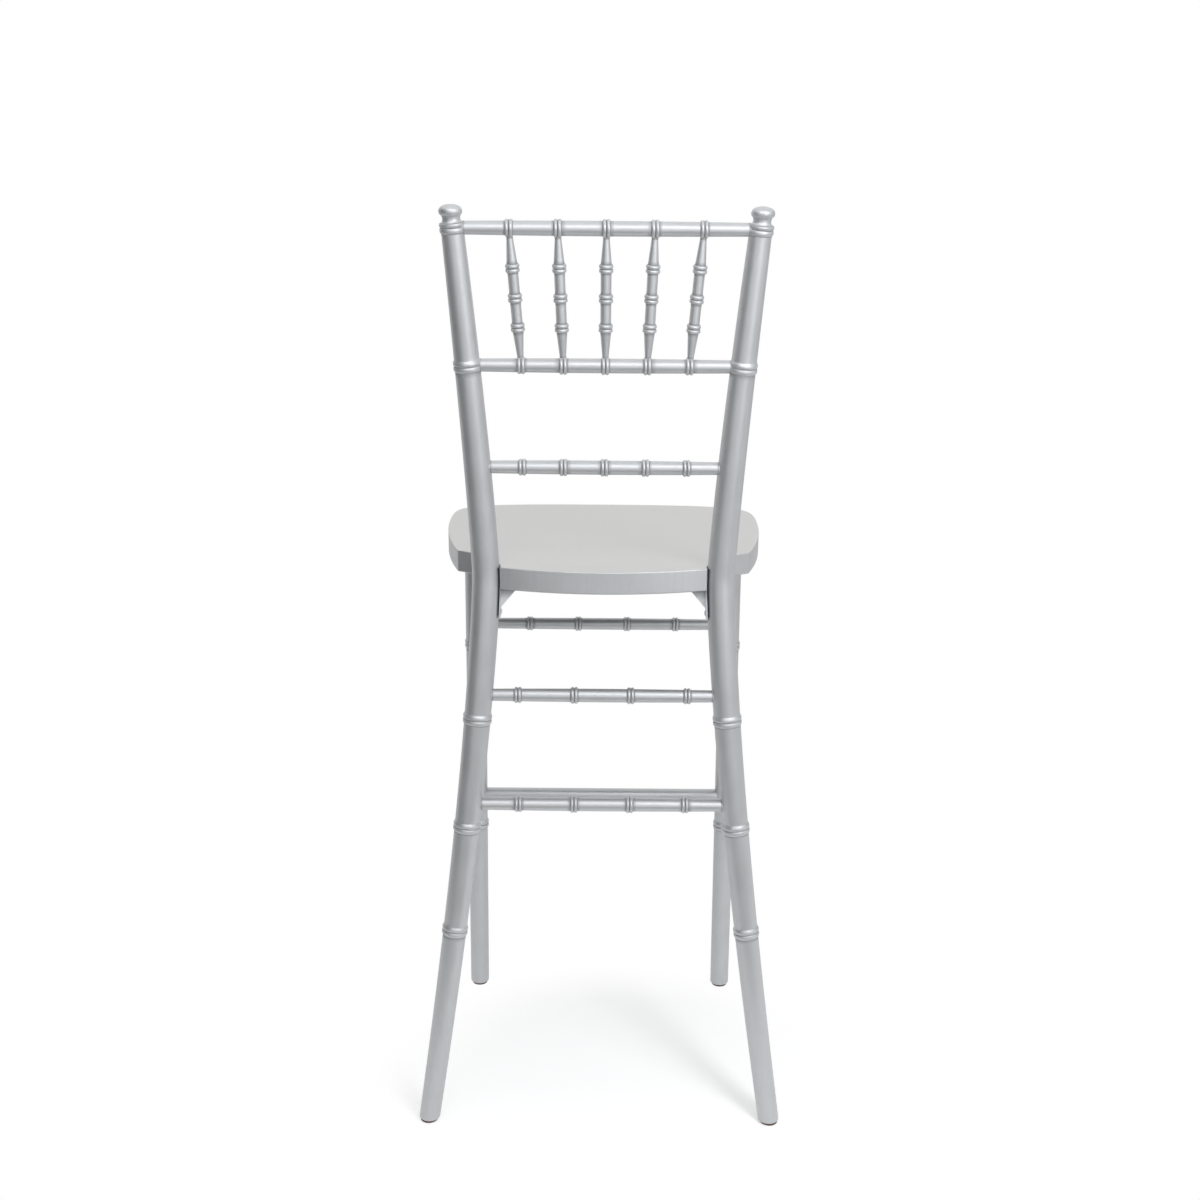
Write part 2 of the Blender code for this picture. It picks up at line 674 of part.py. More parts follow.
def make_seat():
    """The notched seat slab, with sockets for the front legs and pilot holes for the bracket screws."""
    left = seat_outline()
    outline = left + [mirrored(entry) for entry in reversed(left[1:-1])]
    curve = bpy.data.curves.new("seat_outline", "CURVE")
    curve.dimensions = "2D"
    curve.fill_mode = "BOTH"
    curve.extrude = SEAT_THICKNESS / 2
    curve.resolution_u = SEAT_CURVE_STEPS
    spline = curve.splines.new("BEZIER")
    spline.use_cyclic_u = True
    spline.bezier_points.add(len(outline) - 1)
    for point, (place, before, after) in zip(spline.bezier_points, outline):
        point.co = place
        point.handle_left_type = "VECTOR" if before is None else "FREE"
        point.handle_right_type = "VECTOR" if after is None else "FREE"
        if before is not None:
            point.handle_left = before
        if after is not None:
            point.handle_right = after
    flat = bpy.data.objects.new("seat_outline", curve)
    PARTS.objects.link(flat)
    seat = mesh_from_curve(flat, "seat", SILVER_PAINT)
    seat.location.z = SEAT_HEIGHT - SEAT_THICKNESS / 2
    bevel = seat.modifiers.new("rounded_edges", "BEVEL")
    bevel.width = SEAT_EDGE_ROUND
    bevel.segments = 2
    bevel.limit_method = "ANGLE"
    bevel.angle_limit = math.radians(SEAT_SHARP_EDGE_ANGLE)
    cutter = Cutter()
    for side in SIDES_OF_STOOL.values():
        top = leg_centre(SEAT_UNDERSIDE, side)
        axis = (top - leg_centre(0, side)).normalized()
        mouth = top - axis * SEAT_THICKNESS
        bottom = top + axis * (FRONT_LEG_TENON_LENGTH + HOLE_END_CLEARANCE)
        cutter.drill(mouth, bottom, FRONT_LEG_TENON_RADIUS)
        head, tip = seat_screw_line(side)
        cutter.drill(head, tip, SCREW_SHANK_RADIUS)
    cutter.cut(seat)
    return seat


def drill_glide_hole(cutter, foot):
    """The upright hole for a glide's pin."""
    top = GLIDE_THICKNESS + GLIDE_PIN_LENGTH + HOLE_END_CLEARANCE
    cutter.drill((foot.x, foot.y, -GLIDE_THICKNESS), (foot.x, foot.y, top), GLIDE_PIN_RADIUS)


def make_glide(name, foot):
    """A plastic foot glide with its pin."""
    stations = [
        (0, GLIDE_RADIUS - GLIDE_EDGE_ROUND),
        (GLIDE_EDGE_ROUND, GLIDE_RADIUS),
        (GLIDE_THICKNESS, GLIDE_RADIUS),
        (GLIDE_THICKNESS, GLIDE_PIN_RADIUS),
        (GLIDE_THICKNESS + GLIDE_PIN_LENGTH, GLIDE_PIN_RADIUS),
    ]
    glide = turned(name, stations, POST_SIDES, GLIDE_PLASTIC)
    glide.location = (foot.x, foot.y, 0)
    return glide


def bracket_corner(side):
    """The outer top corner of a bracket, under the seat and beside the post."""
    return Vector((side * tongue_half_width(), POST_WAIST_Y, SEAT_UNDERSIDE - FIT_CLEARANCE))


def bracket_directions(side):
    """Directions down a bracket's post leg, which leans along the post, and square from it into the post."""
    corner = bracket_corner(side)
    low = corner.z - BRACKET_POST_LEG
    inner = post_centre(low).x - post_radius(low) - FIT_CLEARANCE
    fall = Vector((inner - abs(corner.x), 0, -BRACKET_POST_LEG)).normalized()
    return Vector((side * fall.x, 0, fall.z)), Vector((-side * fall.z, 0, fall.x))


def post_screw_line(side):
    """Underside of the head and tip of the screw that runs outward into the post."""
    fall, into_post = bracket_directions(side)
    place = bracket_corner(side) + fall * (BRACKET_POST_LEG - SCREW_FROM_BRACKET_END)
    head = place - into_post * (BRACKET_THICKNESS + FIT_CLEARANCE)
    return head, head + into_post * SCREW_LENGTH


def seat_screw_line(side):
    """Underside of the head and tip of the screw that runs up into the seat."""
    corner = bracket_corner(side)
    inward = BRACKET_SEAT_LEG - SCREW_FROM_BRACKET_END
    head = Vector((corner.x - side * inward, corner.y, corner.z - BRACKET_THICKNESS - FIT_CLEARANCE))
    return head, head + Vector((0, 0, SCREW_LENGTH))


def flat_shape(points, depth):
    """A closed plate from a 2D outline, centred on its own plane."""
    shape = bmesh.new()
    corners = [shape.verts.new((x, y, -depth / 2)) for x, y in points]
    face = shape.faces.new(corners)
    pushed = bmesh.ops.extrude_face_region(shape, geom=[face])
    moved = [item for item in pushed["geom"] if isinstance(item, bmesh.types.BMVert)]
    bmesh.ops.translate(shape, verts=moved, vec=(0, 0, depth))
    bmesh.ops.recalc_face_normals(shape, faces=shape.faces)
    return shape


def round_ended_strap(length):
    """Outline of a bracket leg from its square end at 0 to its round end."""
    half = BRACKET_WIDTH / 2
    centre = length - half
    points = [(0, -half)]
    for step in range(SMALL_SIDES // 2 + 1):
        angle = math.pi * (step / (SMALL_SIDES // 2) - 0.5)
        points.append((centre + half * math.cos(angle), half * math.sin(angle)))
    points.append((0, half))
    return points


def columns(x_axis, y_axis, z_axis, origin):
    """The matrix that takes a plate's own axes to these directions."""
    turn = Matrix((x_axis, y_axis, z_axis)).transposed().to_4x4()
    return Matrix.Translation(origin) @ turn


def place_plate(shape, matrix):
    """Moves a plate to its place and turns its faces outward again if the move mirrored it."""
    shape.transform(matrix)
    bmesh.ops.recalc_face_normals(shape, faces=shape.faces)


def make_bracket(word, side):
    """A folded steel corner bracket with a gusset, under the seat and beside the rear post."""
    corner = bracket_corner(side)
    fall, into_post = bracket_directions(side)
    inward = Vector((-side, 0, 0))
    down = Vector((0, 0, -1))
    back = Vector((0, 1, 0))
    half = BRACKET_THICKNESS / 2
    post_leg = flat_shape(round_ended_strap(BRACKET_POST_LEG), BRACKET_THICKNESS)
    place_plate(post_leg, columns(fall, back, -into_post, corner - into_post * half))
    mesh = bpy.data.meshes.new(f"seat_bracket_{word}")
    post_leg.to_mesh(mesh)
    post_leg.free()
    bracket = add_object(f"seat_bracket_{word}", mesh, STEEL)
    seat_leg = flat_shape(round_ended_strap(BRACKET_SEAT_LEG), BRACKET_THICKNESS)
    gusset_corners = [(0, 0), (BRACKET_GUSSET_WIDTH, 0), (0, BRACKET_GUSSET_HEIGHT)]
    gusset = flat_shape(gusset_corners, BRACKET_THICKNESS)
    inner = corner + (inward + down) * half
    plates = (
        ("seat_leg", seat_leg, columns(inward, back, down, corner + down * half)),
        ("gusset", gusset, columns(inward, fall, back, inner)),
    )
    for plate_name, shape, matrix in plates:
        place_plate(shape, matrix)
        add_boolean(bracket, plate_name, "UNION", add_helper(f"{bracket.name}_{plate_name}", shape))
    cutter = Cutter()
    for head, tip in (post_screw_line(side), seat_screw_line(side)):
        through = (tip - head).normalized() * 2 * BRACKET_THICKNESS
        cutter.drill(head - through, head + through, SCREW_SHANK_RADIUS)
    cutter.cut(bracket)
    return bracket


def make_screw(name, head, tip):
    """A round-headed screw; head is the point under its head and tip is its end."""
    length = (tip - head).length - HOLE_END_CLEARANCE
    stations = [
        (-SCREW_HEAD_HEIGHT, SCREW_CROWN_RADIUS),
        (0, SCREW_HEAD_RADIUS),
        (0, SCREW_SHANK_RADIUS),
        (length - SCREW_POINT_LENGTH, SCREW_SHANK_RADIUS),
        (length, SCREW_POINT_RADIUS),
    ]
    screw = turned(name, stations, SMALL_SIDES, STEEL)
    aim(screw, head, tip - head)
    return screw


def main():
    make_seat()
    make_rails()
    for index, place in enumerate(spread(SPINDLES, 1), start=1):
        make_spindle(index, place)
    for word, side in SIDES_OF_STOOL.items():
        make_rear_post(word, side)
        make_front_leg(word, side)
        make_glide(f"rear_glide_{word}", post_centre(0, side))
        make_glide(f"front_glide_{word}", leg_centre(0, side))
        make_bracket(word, side)
        make_screw(f"post_screw_{word}", *post_screw_line(side))
        make_screw(f"seat_screw_{word}", *seat_screw_line(side))


main()
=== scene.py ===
"""Looks of a ballroom bar stool: ring-turned wood under silver paint, in a plain pale studio.

Metres, +Z up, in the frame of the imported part: the sitter faces -Y, and the camera stands behind the stool.
"""

import math
from functools import partial
from typing import NamedTuple

import bmesh
import bpy
from mathutils import Euler, Matrix, Vector
from mathutils.geometry import interpolate_bezier


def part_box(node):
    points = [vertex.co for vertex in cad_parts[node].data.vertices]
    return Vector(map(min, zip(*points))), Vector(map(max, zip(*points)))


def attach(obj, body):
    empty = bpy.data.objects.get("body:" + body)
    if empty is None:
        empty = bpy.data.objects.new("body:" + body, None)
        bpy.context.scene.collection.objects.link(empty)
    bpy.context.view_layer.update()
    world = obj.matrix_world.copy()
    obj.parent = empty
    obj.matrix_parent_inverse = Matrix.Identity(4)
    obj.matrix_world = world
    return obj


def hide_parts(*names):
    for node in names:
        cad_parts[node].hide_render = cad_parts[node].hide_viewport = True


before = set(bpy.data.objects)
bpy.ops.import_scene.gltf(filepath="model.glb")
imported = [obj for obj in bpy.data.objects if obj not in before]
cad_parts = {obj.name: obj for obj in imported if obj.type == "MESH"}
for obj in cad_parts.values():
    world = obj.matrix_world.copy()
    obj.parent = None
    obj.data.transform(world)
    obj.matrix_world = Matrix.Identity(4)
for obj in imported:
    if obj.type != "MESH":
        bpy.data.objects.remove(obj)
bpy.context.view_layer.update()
BODY = "root"
SIDES_OF_STOOL = {"left": 1, "right": -1}
UP = Vector((0, 0, 1))
BACK = Vector((0, 1, 0))


def middle(node):
    """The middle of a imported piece's box, which lies on the axis of a turned piece."""
    low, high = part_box(node)
    return (low + high) / 2


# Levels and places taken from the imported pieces
SEAT_LOW, SEAT_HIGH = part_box("seat")
SEAT_HEIGHT = SEAT_HIGH.z
SEAT_UNDERSIDE = SEAT_LOW.z
CREST_RAIL_HEIGHT = middle("crest_rail").z
LOWER_BACK_RAIL_HEIGHT = middle("lower_back_rail").z
POST_TOP_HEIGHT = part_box("rear_post_left")[1].z

# Fits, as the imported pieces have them
FIT_CLEARANCE = 0.0003
RAIL_SOCKET_DEPTH = 0.016

# Rear posts: centre line, radii and bends
POST_WAIST_BELOW_SEAT_TOP = 0.015
POST_WAIST_HEIGHT = SEAT_HEIGHT - POST_WAIST_BELOW_SEAT_TOP
POST_AXIS_FROM_SEAT_REAR = 0.033
POST_WAIST_Y = SEAT_HIGH.y - POST_AXIS_FROM_SEAT_REAR
POST_WAIST_SPACING = 0.288
POST_TOP_SPACING = 0.350
POST_FOOT_SPACING = 0.4515
POST_TOP_RAKE = 0.053
POST_FOOT_KICK = 0.0406
POST_UPPER_BEND = 1.22
POST_LOWER_BEND = 1.33
POST_THICKEST_BELOW_SEAT_TOP = 0.090
POST_THICKEST_HEIGHT = SEAT_HEIGHT - POST_THICKEST_BELOW_SEAT_TOP
POST_THICKEST_RADIUS = 0.0172
POST_TOP_RADIUS = 0.0130
POST_FOOT_RADIUS = 0.0136
POST_UPPER_TAPER = 1.7

# Front legs
FRONT_LEG_FROM_SEAT_FRONT = 0.0552
FRONT_LEG_TOP_Y = SEAT_LOW.y + FRONT_LEG_FROM_SEAT_FRONT
FRONT_LEG_TOP_SPACING = 0.368
FRONT_LEG_FOOT_SPACING = 0.3732
FRONT_LEG_FOOT_KICK = 0.0023
FRONT_LEG_TOP_RADIUS = 0.0150
FRONT_LEG_FOOT_RADIUS = 0.0138

# Turned rings on posts and legs
LEG_RING_HEIGHTS = (0.2695, 0.4107, 0.5538)
TOP_RING_ABOVE_CREST_RAIL = 0.001

# Finials: a hollow neck under a flattened bun
FINIAL_ABOVE_CREST_RAIL = 0.0056
FINIAL_NECK_LENGTH = 0.0056
FINIAL_NECK_RADIUS = 0.0102
FINIAL_NECK_FOOT_RADIUS = 0.0123
FINIAL_NECK_TOP_RADIUS = 0.0111
FINIAL_NECK_HOLLOW = 2.2
FINIAL_FOOT_CREVICE_SHARE = 1 / 8
FINIAL_TOP_CREVICE_SHARE = 1 / 3
FINIAL_TOP_CREVICE_SHADE = 0.5
FINIAL_RADIUS = 0.0134
FINIAL_UNDERSIDE_HEIGHT = 0.0064
FINIAL_UNDERSIDE_FULLNESS = 2.3
FINIAL_DOME_HEIGHT = 0.0079
FINIAL_DOME_FULLNESS = 2.25
FINIAL_DOME_END = math.radians(89)
FINIAL_UPRIGHT = 0.5
FINIAL_BOTTOM = CREST_RAIL_HEIGHT + FINIAL_ABOVE_CREST_RAIL
FINIAL_MIDDLE = FINIAL_BOTTOM + FINIAL_NECK_LENGTH + FINIAL_UNDERSIDE_HEIGHT

# Rails and stretchers
RAIL_RADIUS = 0.0085
RAIL_END_RADIUS = 0.0076
FOOTREST_RADIUS = 0.0095
STRETCHER_RINGS = 4
STRETCHER_RING_SPACING = 0.0705
LUMBAR_RINGS = 5
LUMBAR_RING_SPACING = 0.049

# Back spindles
SPINDLES = 5
SPINDLE_TOP_SPACING = 0.0548
SPINDLE_BOTTOM_SPACING = 0.0489
SPINDLE_RADIUS = 0.0062
SPINDLE_NECK_RADIUS = 0.0037
SPINDLE_RING_SPACING = 0.034
SPINDLE_RINGS = 3

# Feet
GLIDE_RADIUS = 0.0115
GLIDE_THICKNESS = 0.003
GLIDE_EDGE_ROUND = 0.0012
LEG_BOTTOM = GLIDE_THICKNESS + FIT_CLEARANCE
FOOT_EDGE_ROUND = 0.0022
FOOT_EDGE_TOP = LEG_BOTTOM + FOOT_EDGE_ROUND
FOOT_LEVEL_BELOW = 0.03

# Seat outline, seen from above, and its edges
SEAT_WIDTH = SEAT_HIGH.x - SEAT_LOW.x
SEAT_WIDEST_FROM_FRONT = 0.099
SEAT_FRONT_CORNER_PULL = 0.208
SEAT_SIDE_FRONT_PULL = 0.080
SEAT_SIDE_REAR_PULL = 0.063
SEAT_EAR_SIDE_ANGLE = math.radians(17.5)
SEAT_EAR_WIDTH = 0.372
SEAT_EAR_FROM_REAR = 0.1095
SEAT_EAR_REAR_ANGLE = math.radians(32.3)
SEAT_EAR_REAR_LENGTH = 0.026
SEAT_TONGUE_BOW = 0.022
SEAT_EDGE_ROUND = 0.0015
SEAT_EDGE_SEGMENTS = 5
SEAT_EDGE_ANGLE = math.radians(30)
PARABOLA_PULL = 2 / 3
QUARTER_ARC_PULL = 4 / 3 * math.tan(math.pi / 8)
FLIP = Vector((-1, 1, 1))

# Steel brackets and screws
BRACKET_THICKNESS = 0.0020
BRACKET_WIDTH = 0.016
BRACKET_POST_LEG = 0.039
BRACKET_SEAT_LEG = 0.036
BRACKET_GUSSET_WIDTH = 0.0195
BRACKET_GUSSET_HEIGHT = 0.025
BRACKET_EDGE_ROUND = 0.0004
BRACKET_EDGE_SEGMENTS = 2
BRACKET_EDGE_ANGLE = math.radians(40)
SCREW_FROM_BRACKET_END = 0.008
SCREW_HEAD_RADIUS = 0.0036
SCREW_HEAD_HEIGHT = 0.0016
SCREW_HEAD_FLAT_RADIUS = 0.00018
SCREW_RECESS_LENGTH = 0.0042
SCREW_RECESS_WIDTH = 0.0009
SCREW_RECESS_DEPTH = 0.0009

# Fineness of the meshes
POST_SIDES = 56
RAIL_SIDES = 44
SPINDLE_SIDES = 36
SMALL_SIDES = 40
PLAIN_STEP = 0.006
JOINT_STEP = 0.0005
JOINT_STEPS = 5
BEAD_STEPS = 14
QUIRK_STEPS = 4
CURVE_STEPS = 14
FOOT_EDGE_STEPS = 7
GLIDE_EDGE_STEPS = 13
SEAT_CURVE_POINTS = 48
POST_DIRECTION_STEP = 0.001
SHARP_EDGE_ANGLE = math.radians(48)

# Painted shade in grooves and joints, and the place of the crests, stored on the meshes
GROOVE_SHADE_WIDTH = 0.0007
CREST_SHADE_SHARE = 0.25
JOINT_SHADE_WIDTH = 0.0010
SEAT_JOINT_SHADE = 2.5
SEAT_JOINT_EDGE = math.cos(math.radians(34))
SEAT_JOINT_CORE = math.cos(math.radians(24))


class Bead(NamedTuple):
    """One turned bead beside a groove, with or without a fine quirk on its outer side.

    crest_share is how far its crest lies from the groove, as a share of its width, and fall_power shapes its
    outer side: 0.5 is a half round and 2 a soft flare.
    """

    width: float
    height: float
    crest_share: float
    fall_power: float
    quirk_width: float = 0.0
    quirk_depth: float = 0.0

    @property
    def reach(self):
        return self.width + self.quirk_width

    @property
    def crest_distance(self):
        return self.width * self.crest_share

    def distances(self):
        """Places from the groove out to the quirk's far edge, close together where the bead is steep."""
        rising = self.crest_distance
        falling = self.width - rising
        turns = [math.pi / 2 * step / BEAD_STEPS for step in range(BEAD_STEPS + 1)]
        inner = [rising * (1 - math.cos(turn)) for turn in turns]
        outer = [rising + falling * math.sin(turn) for turn in turns[1:]]
        quirk = [self.width + self.quirk_width * step / QUIRK_STEPS for step in range(1, QUIRK_STEPS + 1)]
        return inner + outer + (quirk if self.quirk_width else [])

    def rise(self, distance):
        """What the turning adds to the plain radius at this distance from the groove."""
        crest = self.crest_distance
        if distance <= crest:
            return self.height * math.sqrt(1 - (1 - distance / crest) ** 2)
        if distance <= self.width:
            share = (distance - crest) / (self.width - crest)
            return self.height * max(1 - share * share, 0.0) ** self.fall_power
        if distance < self.reach:
            return -self.quirk_depth * math.sin(math.pi * (distance - self.width) / self.quirk_width)
        return 0.0

    def groove(self, distance):
        """How deep in a groove this place lies, from 0 to 1, which sets the painted shade there."""
        lines = [0.0] + ([self.width + self.quirk_width / 2] if self.quirk_width else [])
        return max(math.exp(-((distance - line) / GROOVE_SHADE_WIDTH) ** 2) for line in lines)

    def crest(self, distance):
        """How near its crest this place lies, from 0 to 1."""
        offset = (distance - self.crest_distance) / (self.width * CREST_SHADE_SHARE)
        return math.exp(-offset * offset)


class RingPair(NamedTuple):
    """Two turned beads with a groove between them: the one before it along the piece, and the one after."""

    before: Bead
    after: Bead

    def covers(self, offset):
        """Whether a place at this offset from the groove lies on the pair."""
        return -self.before.reach <= offset <= self.after.reach


LEG_LOWER_BEAD = Bead(
    width=0.0068, height=0.0016, crest_share=0.46, fall_power=0.7, quirk_width=0.0004, quirk_depth=0.0002
)
LEG_UPPER_BEAD = Bead(width=0.0072, height=0.0016, crest_share=0.40, fall_power=1.3)
LEG_RING = RingPair(LEG_LOWER_BEAD, LEG_UPPER_BEAD)
RAIL_BEAD = Bead(
    width=0.0045, height=0.0021, crest_share=0.5, fall_power=0.6, quirk_width=0.0005, quirk_depth=0.0002
)
RAIL_RING = RingPair(RAIL_BEAD, RAIL_BEAD)
SPINDLE_BEAD = RAIL_BEAD._replace(width=0.0051, quirk_width=0.0004)
SPINDLE_RING = RingPair(SPINDLE_BEAD, SPINDLE_BEAD)


class Station(NamedTuple):
    """One ring of a turned surface: its place along the axis, its radius, its painted shade and how near a
    crest it lies.
    """

    place: float
    radius: float
    groove: float = 0.0
    crest: float = 0.0


def ramp(value, start, end):
    """0 up to the start, 1 from the end on, and in proportion between them."""
    return min(max((value - start) / (end - start), 0.0), 1.0)


def spread(count, spacing):
    """Places of evenly spaced rings about the middle of a piece."""
    return [(index - (count - 1) / 2) * spacing for index in range(count)]


def stretch(start, end, step):
    """Evenly spaced places between two ends, both of them included."""
    count = max(1, math.ceil((end - start) / step))
    return [start + (end - start) * index / count for index in range(count + 1)]


def joint_stations(places, radius_at):
    """Close stations where a piece enters another, with a painted shadow line at the joint."""
    stations = []
    for place in places:
        for step in range(-JOINT_STEPS, JOINT_STEPS + 1):
            offset = step * JOINT_STEP
            shade = math.exp(-(offset / JOINT_SHADE_WIDTH) ** 2)
            stations.append(Station(place + offset, radius_at(place + offset), shade))
    return stations


def turned_stations(start, end, radius_at, ring_places, ring, joints=()):
    """Stations of a turned length with ring pairs on it and joints along it."""
    stations = joint_stations(joints, radius_at)
    joint_reach = JOINT_STEP * JOINT_STEPS
    for place in stretch(start, end, PLAIN_STEP):
        on_ring = any(ring.covers(place - centre) for centre in ring_places)
        on_joint = any(abs(place - joint) <= joint_reach for joint in joints)
        if not on_ring and not on_joint:
            stations.append(Station(place, radius_at(place)))
    for centre in ring_places:
        before = [(centre - distance, distance, ring.before) for distance in ring.before.distances()]
        after = [(centre + distance, distance, ring.after) for distance in ring.after.distances()[1:]]
        for place, distance, bead in before + after:
            if start <= place <= end:
                radius = radius_at(place) + bead.rise(distance)
                stations.append(Station(place, radius, bead.groove(distance), bead.crest(distance)))
    return sorted(stations)


def post_centre(height, side=1):
    """Centre line of a bent rear post at this height; side is 1 on the left and -1 on the right."""
    waist_x = POST_WAIST_SPACING / 2
    if height >= POST_WAIST_HEIGHT:
        along = (height - POST_WAIST_HEIGHT) / (POST_TOP_HEIGHT - POST_WAIST_HEIGHT)
        share = along ** POST_UPPER_BEND
        splay = POST_TOP_SPACING / 2 - waist_x
        lean = POST_TOP_RAKE
    else:
        along = (POST_WAIST_HEIGHT - height) / POST_WAIST_HEIGHT
        share = along ** POST_LOWER_BEND
        splay = POST_FOOT_SPACING / 2 - waist_x
        lean = POST_FOOT_KICK
    return Vector((side * (waist_x + splay * share), POST_WAIST_Y + lean * share, height))


def post_radius(height):
    """Radius of a rear post between its rings, thickest below the seat."""
    if height >= POST_THICKEST_HEIGHT:
        along = (height - POST_THICKEST_HEIGHT) / (CREST_RAIL_HEIGHT - POST_THICKEST_HEIGHT)
        return POST_THICKEST_RADIUS - (POST_THICKEST_RADIUS - POST_TOP_RADIUS) * along ** POST_UPPER_TAPER
    along = height / POST_THICKEST_HEIGHT
    return POST_FOOT_RADIUS + (POST_THICKEST_RADIUS - POST_FOOT_RADIUS) * along


def leg_centre(height, side=1):
    """Centre line of a straight front leg at this height."""
    along = 1 - height / SEAT_UNDERSIDE
    top_x = FRONT_LEG_TOP_SPACING / 2
    splay = FRONT_LEG_FOOT_SPACING / 2 - top_x
    return Vector((side * (top_x + splay * along), FRONT_LEG_TOP_Y - FRONT_LEG_FOOT_KICK * along, height))


def leg_radius(height):
    """Radius of a front leg between its rings."""
    along = height / SEAT_UNDERSIDE
    return FRONT_LEG_FOOT_RADIUS + (FRONT_LEG_TOP_RADIUS - FRONT_LEG_FOOT_RADIUS) * along


def new_object(name, data):
    """An object with this data, linked to the scene."""
    obj = bpy.data.objects.new(name, data)
    bpy.context.scene.collection.objects.link(obj)
    return obj


def add_piece(name, mesh, node, material):
    """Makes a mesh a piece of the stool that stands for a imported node."""
    piece = new_object(name, mesh)
    mesh.materials.clear()
    mesh.materials.append(material)
    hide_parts(node)
    return piece


def swept_mesh(name, stations, sides, centre_at, direction_at):
    """A closed round mesh through stations along a centre line."""
    points = []
    grooves = []
    crests = []
    for station in stations:
        centre = centre_at(station.place)
        direction = direction_at(station.place)
        across = BACK.cross(direction).normalized()
        forward = direction.cross(across)
        for index in range(sides):
            angle = 2 * math.pi * index / sides
            points.append(centre + (across * math.cos(angle) + forward * math.sin(angle)) * station.radius)
        grooves += [station.groove] * sides
        crests += [station.crest] * sides
    faces = [tuple(reversed(range(sides)))]
    for row in range(len(stations) - 1):
        base = row * sides
        for index in range(sides):
            following = (index + 1) % sides
            faces.append((base + index, base + following, base + sides + following, base + sides + index))
    last = (len(stations) - 1) * sides
    faces.append(tuple(range(last, last + sides)))
    mesh = bpy.data.meshes.new(name)
    mesh.from_pydata(points, [], faces)
    for attribute_name, values in (("groove", grooves), ("crest", crests)):
        attribute = mesh.attributes.new(attribute_name, "FLOAT", "POINT")
        attribute.data.foreach_set("value", values)
    mesh.shade_smooth()
    mesh.set_sharp_from_angle(angle=SHARP_EDGE_ANGLE)
    return mesh


def lathe_mesh(name, stations, sides):
    """A closed turned mesh about its own Z axis."""
    return swept_mesh(name, stations, sides, lambda place: UP * place, lambda place: UP)


def aim(piece, origin, direction):
    """Places a piece with its own Z axis along a direction."""
    turn = direction.to_track_quat("Z", "Y").to_matrix().to_4x4()
    piece.matrix_world = Matrix.Translation(origin) @ turn


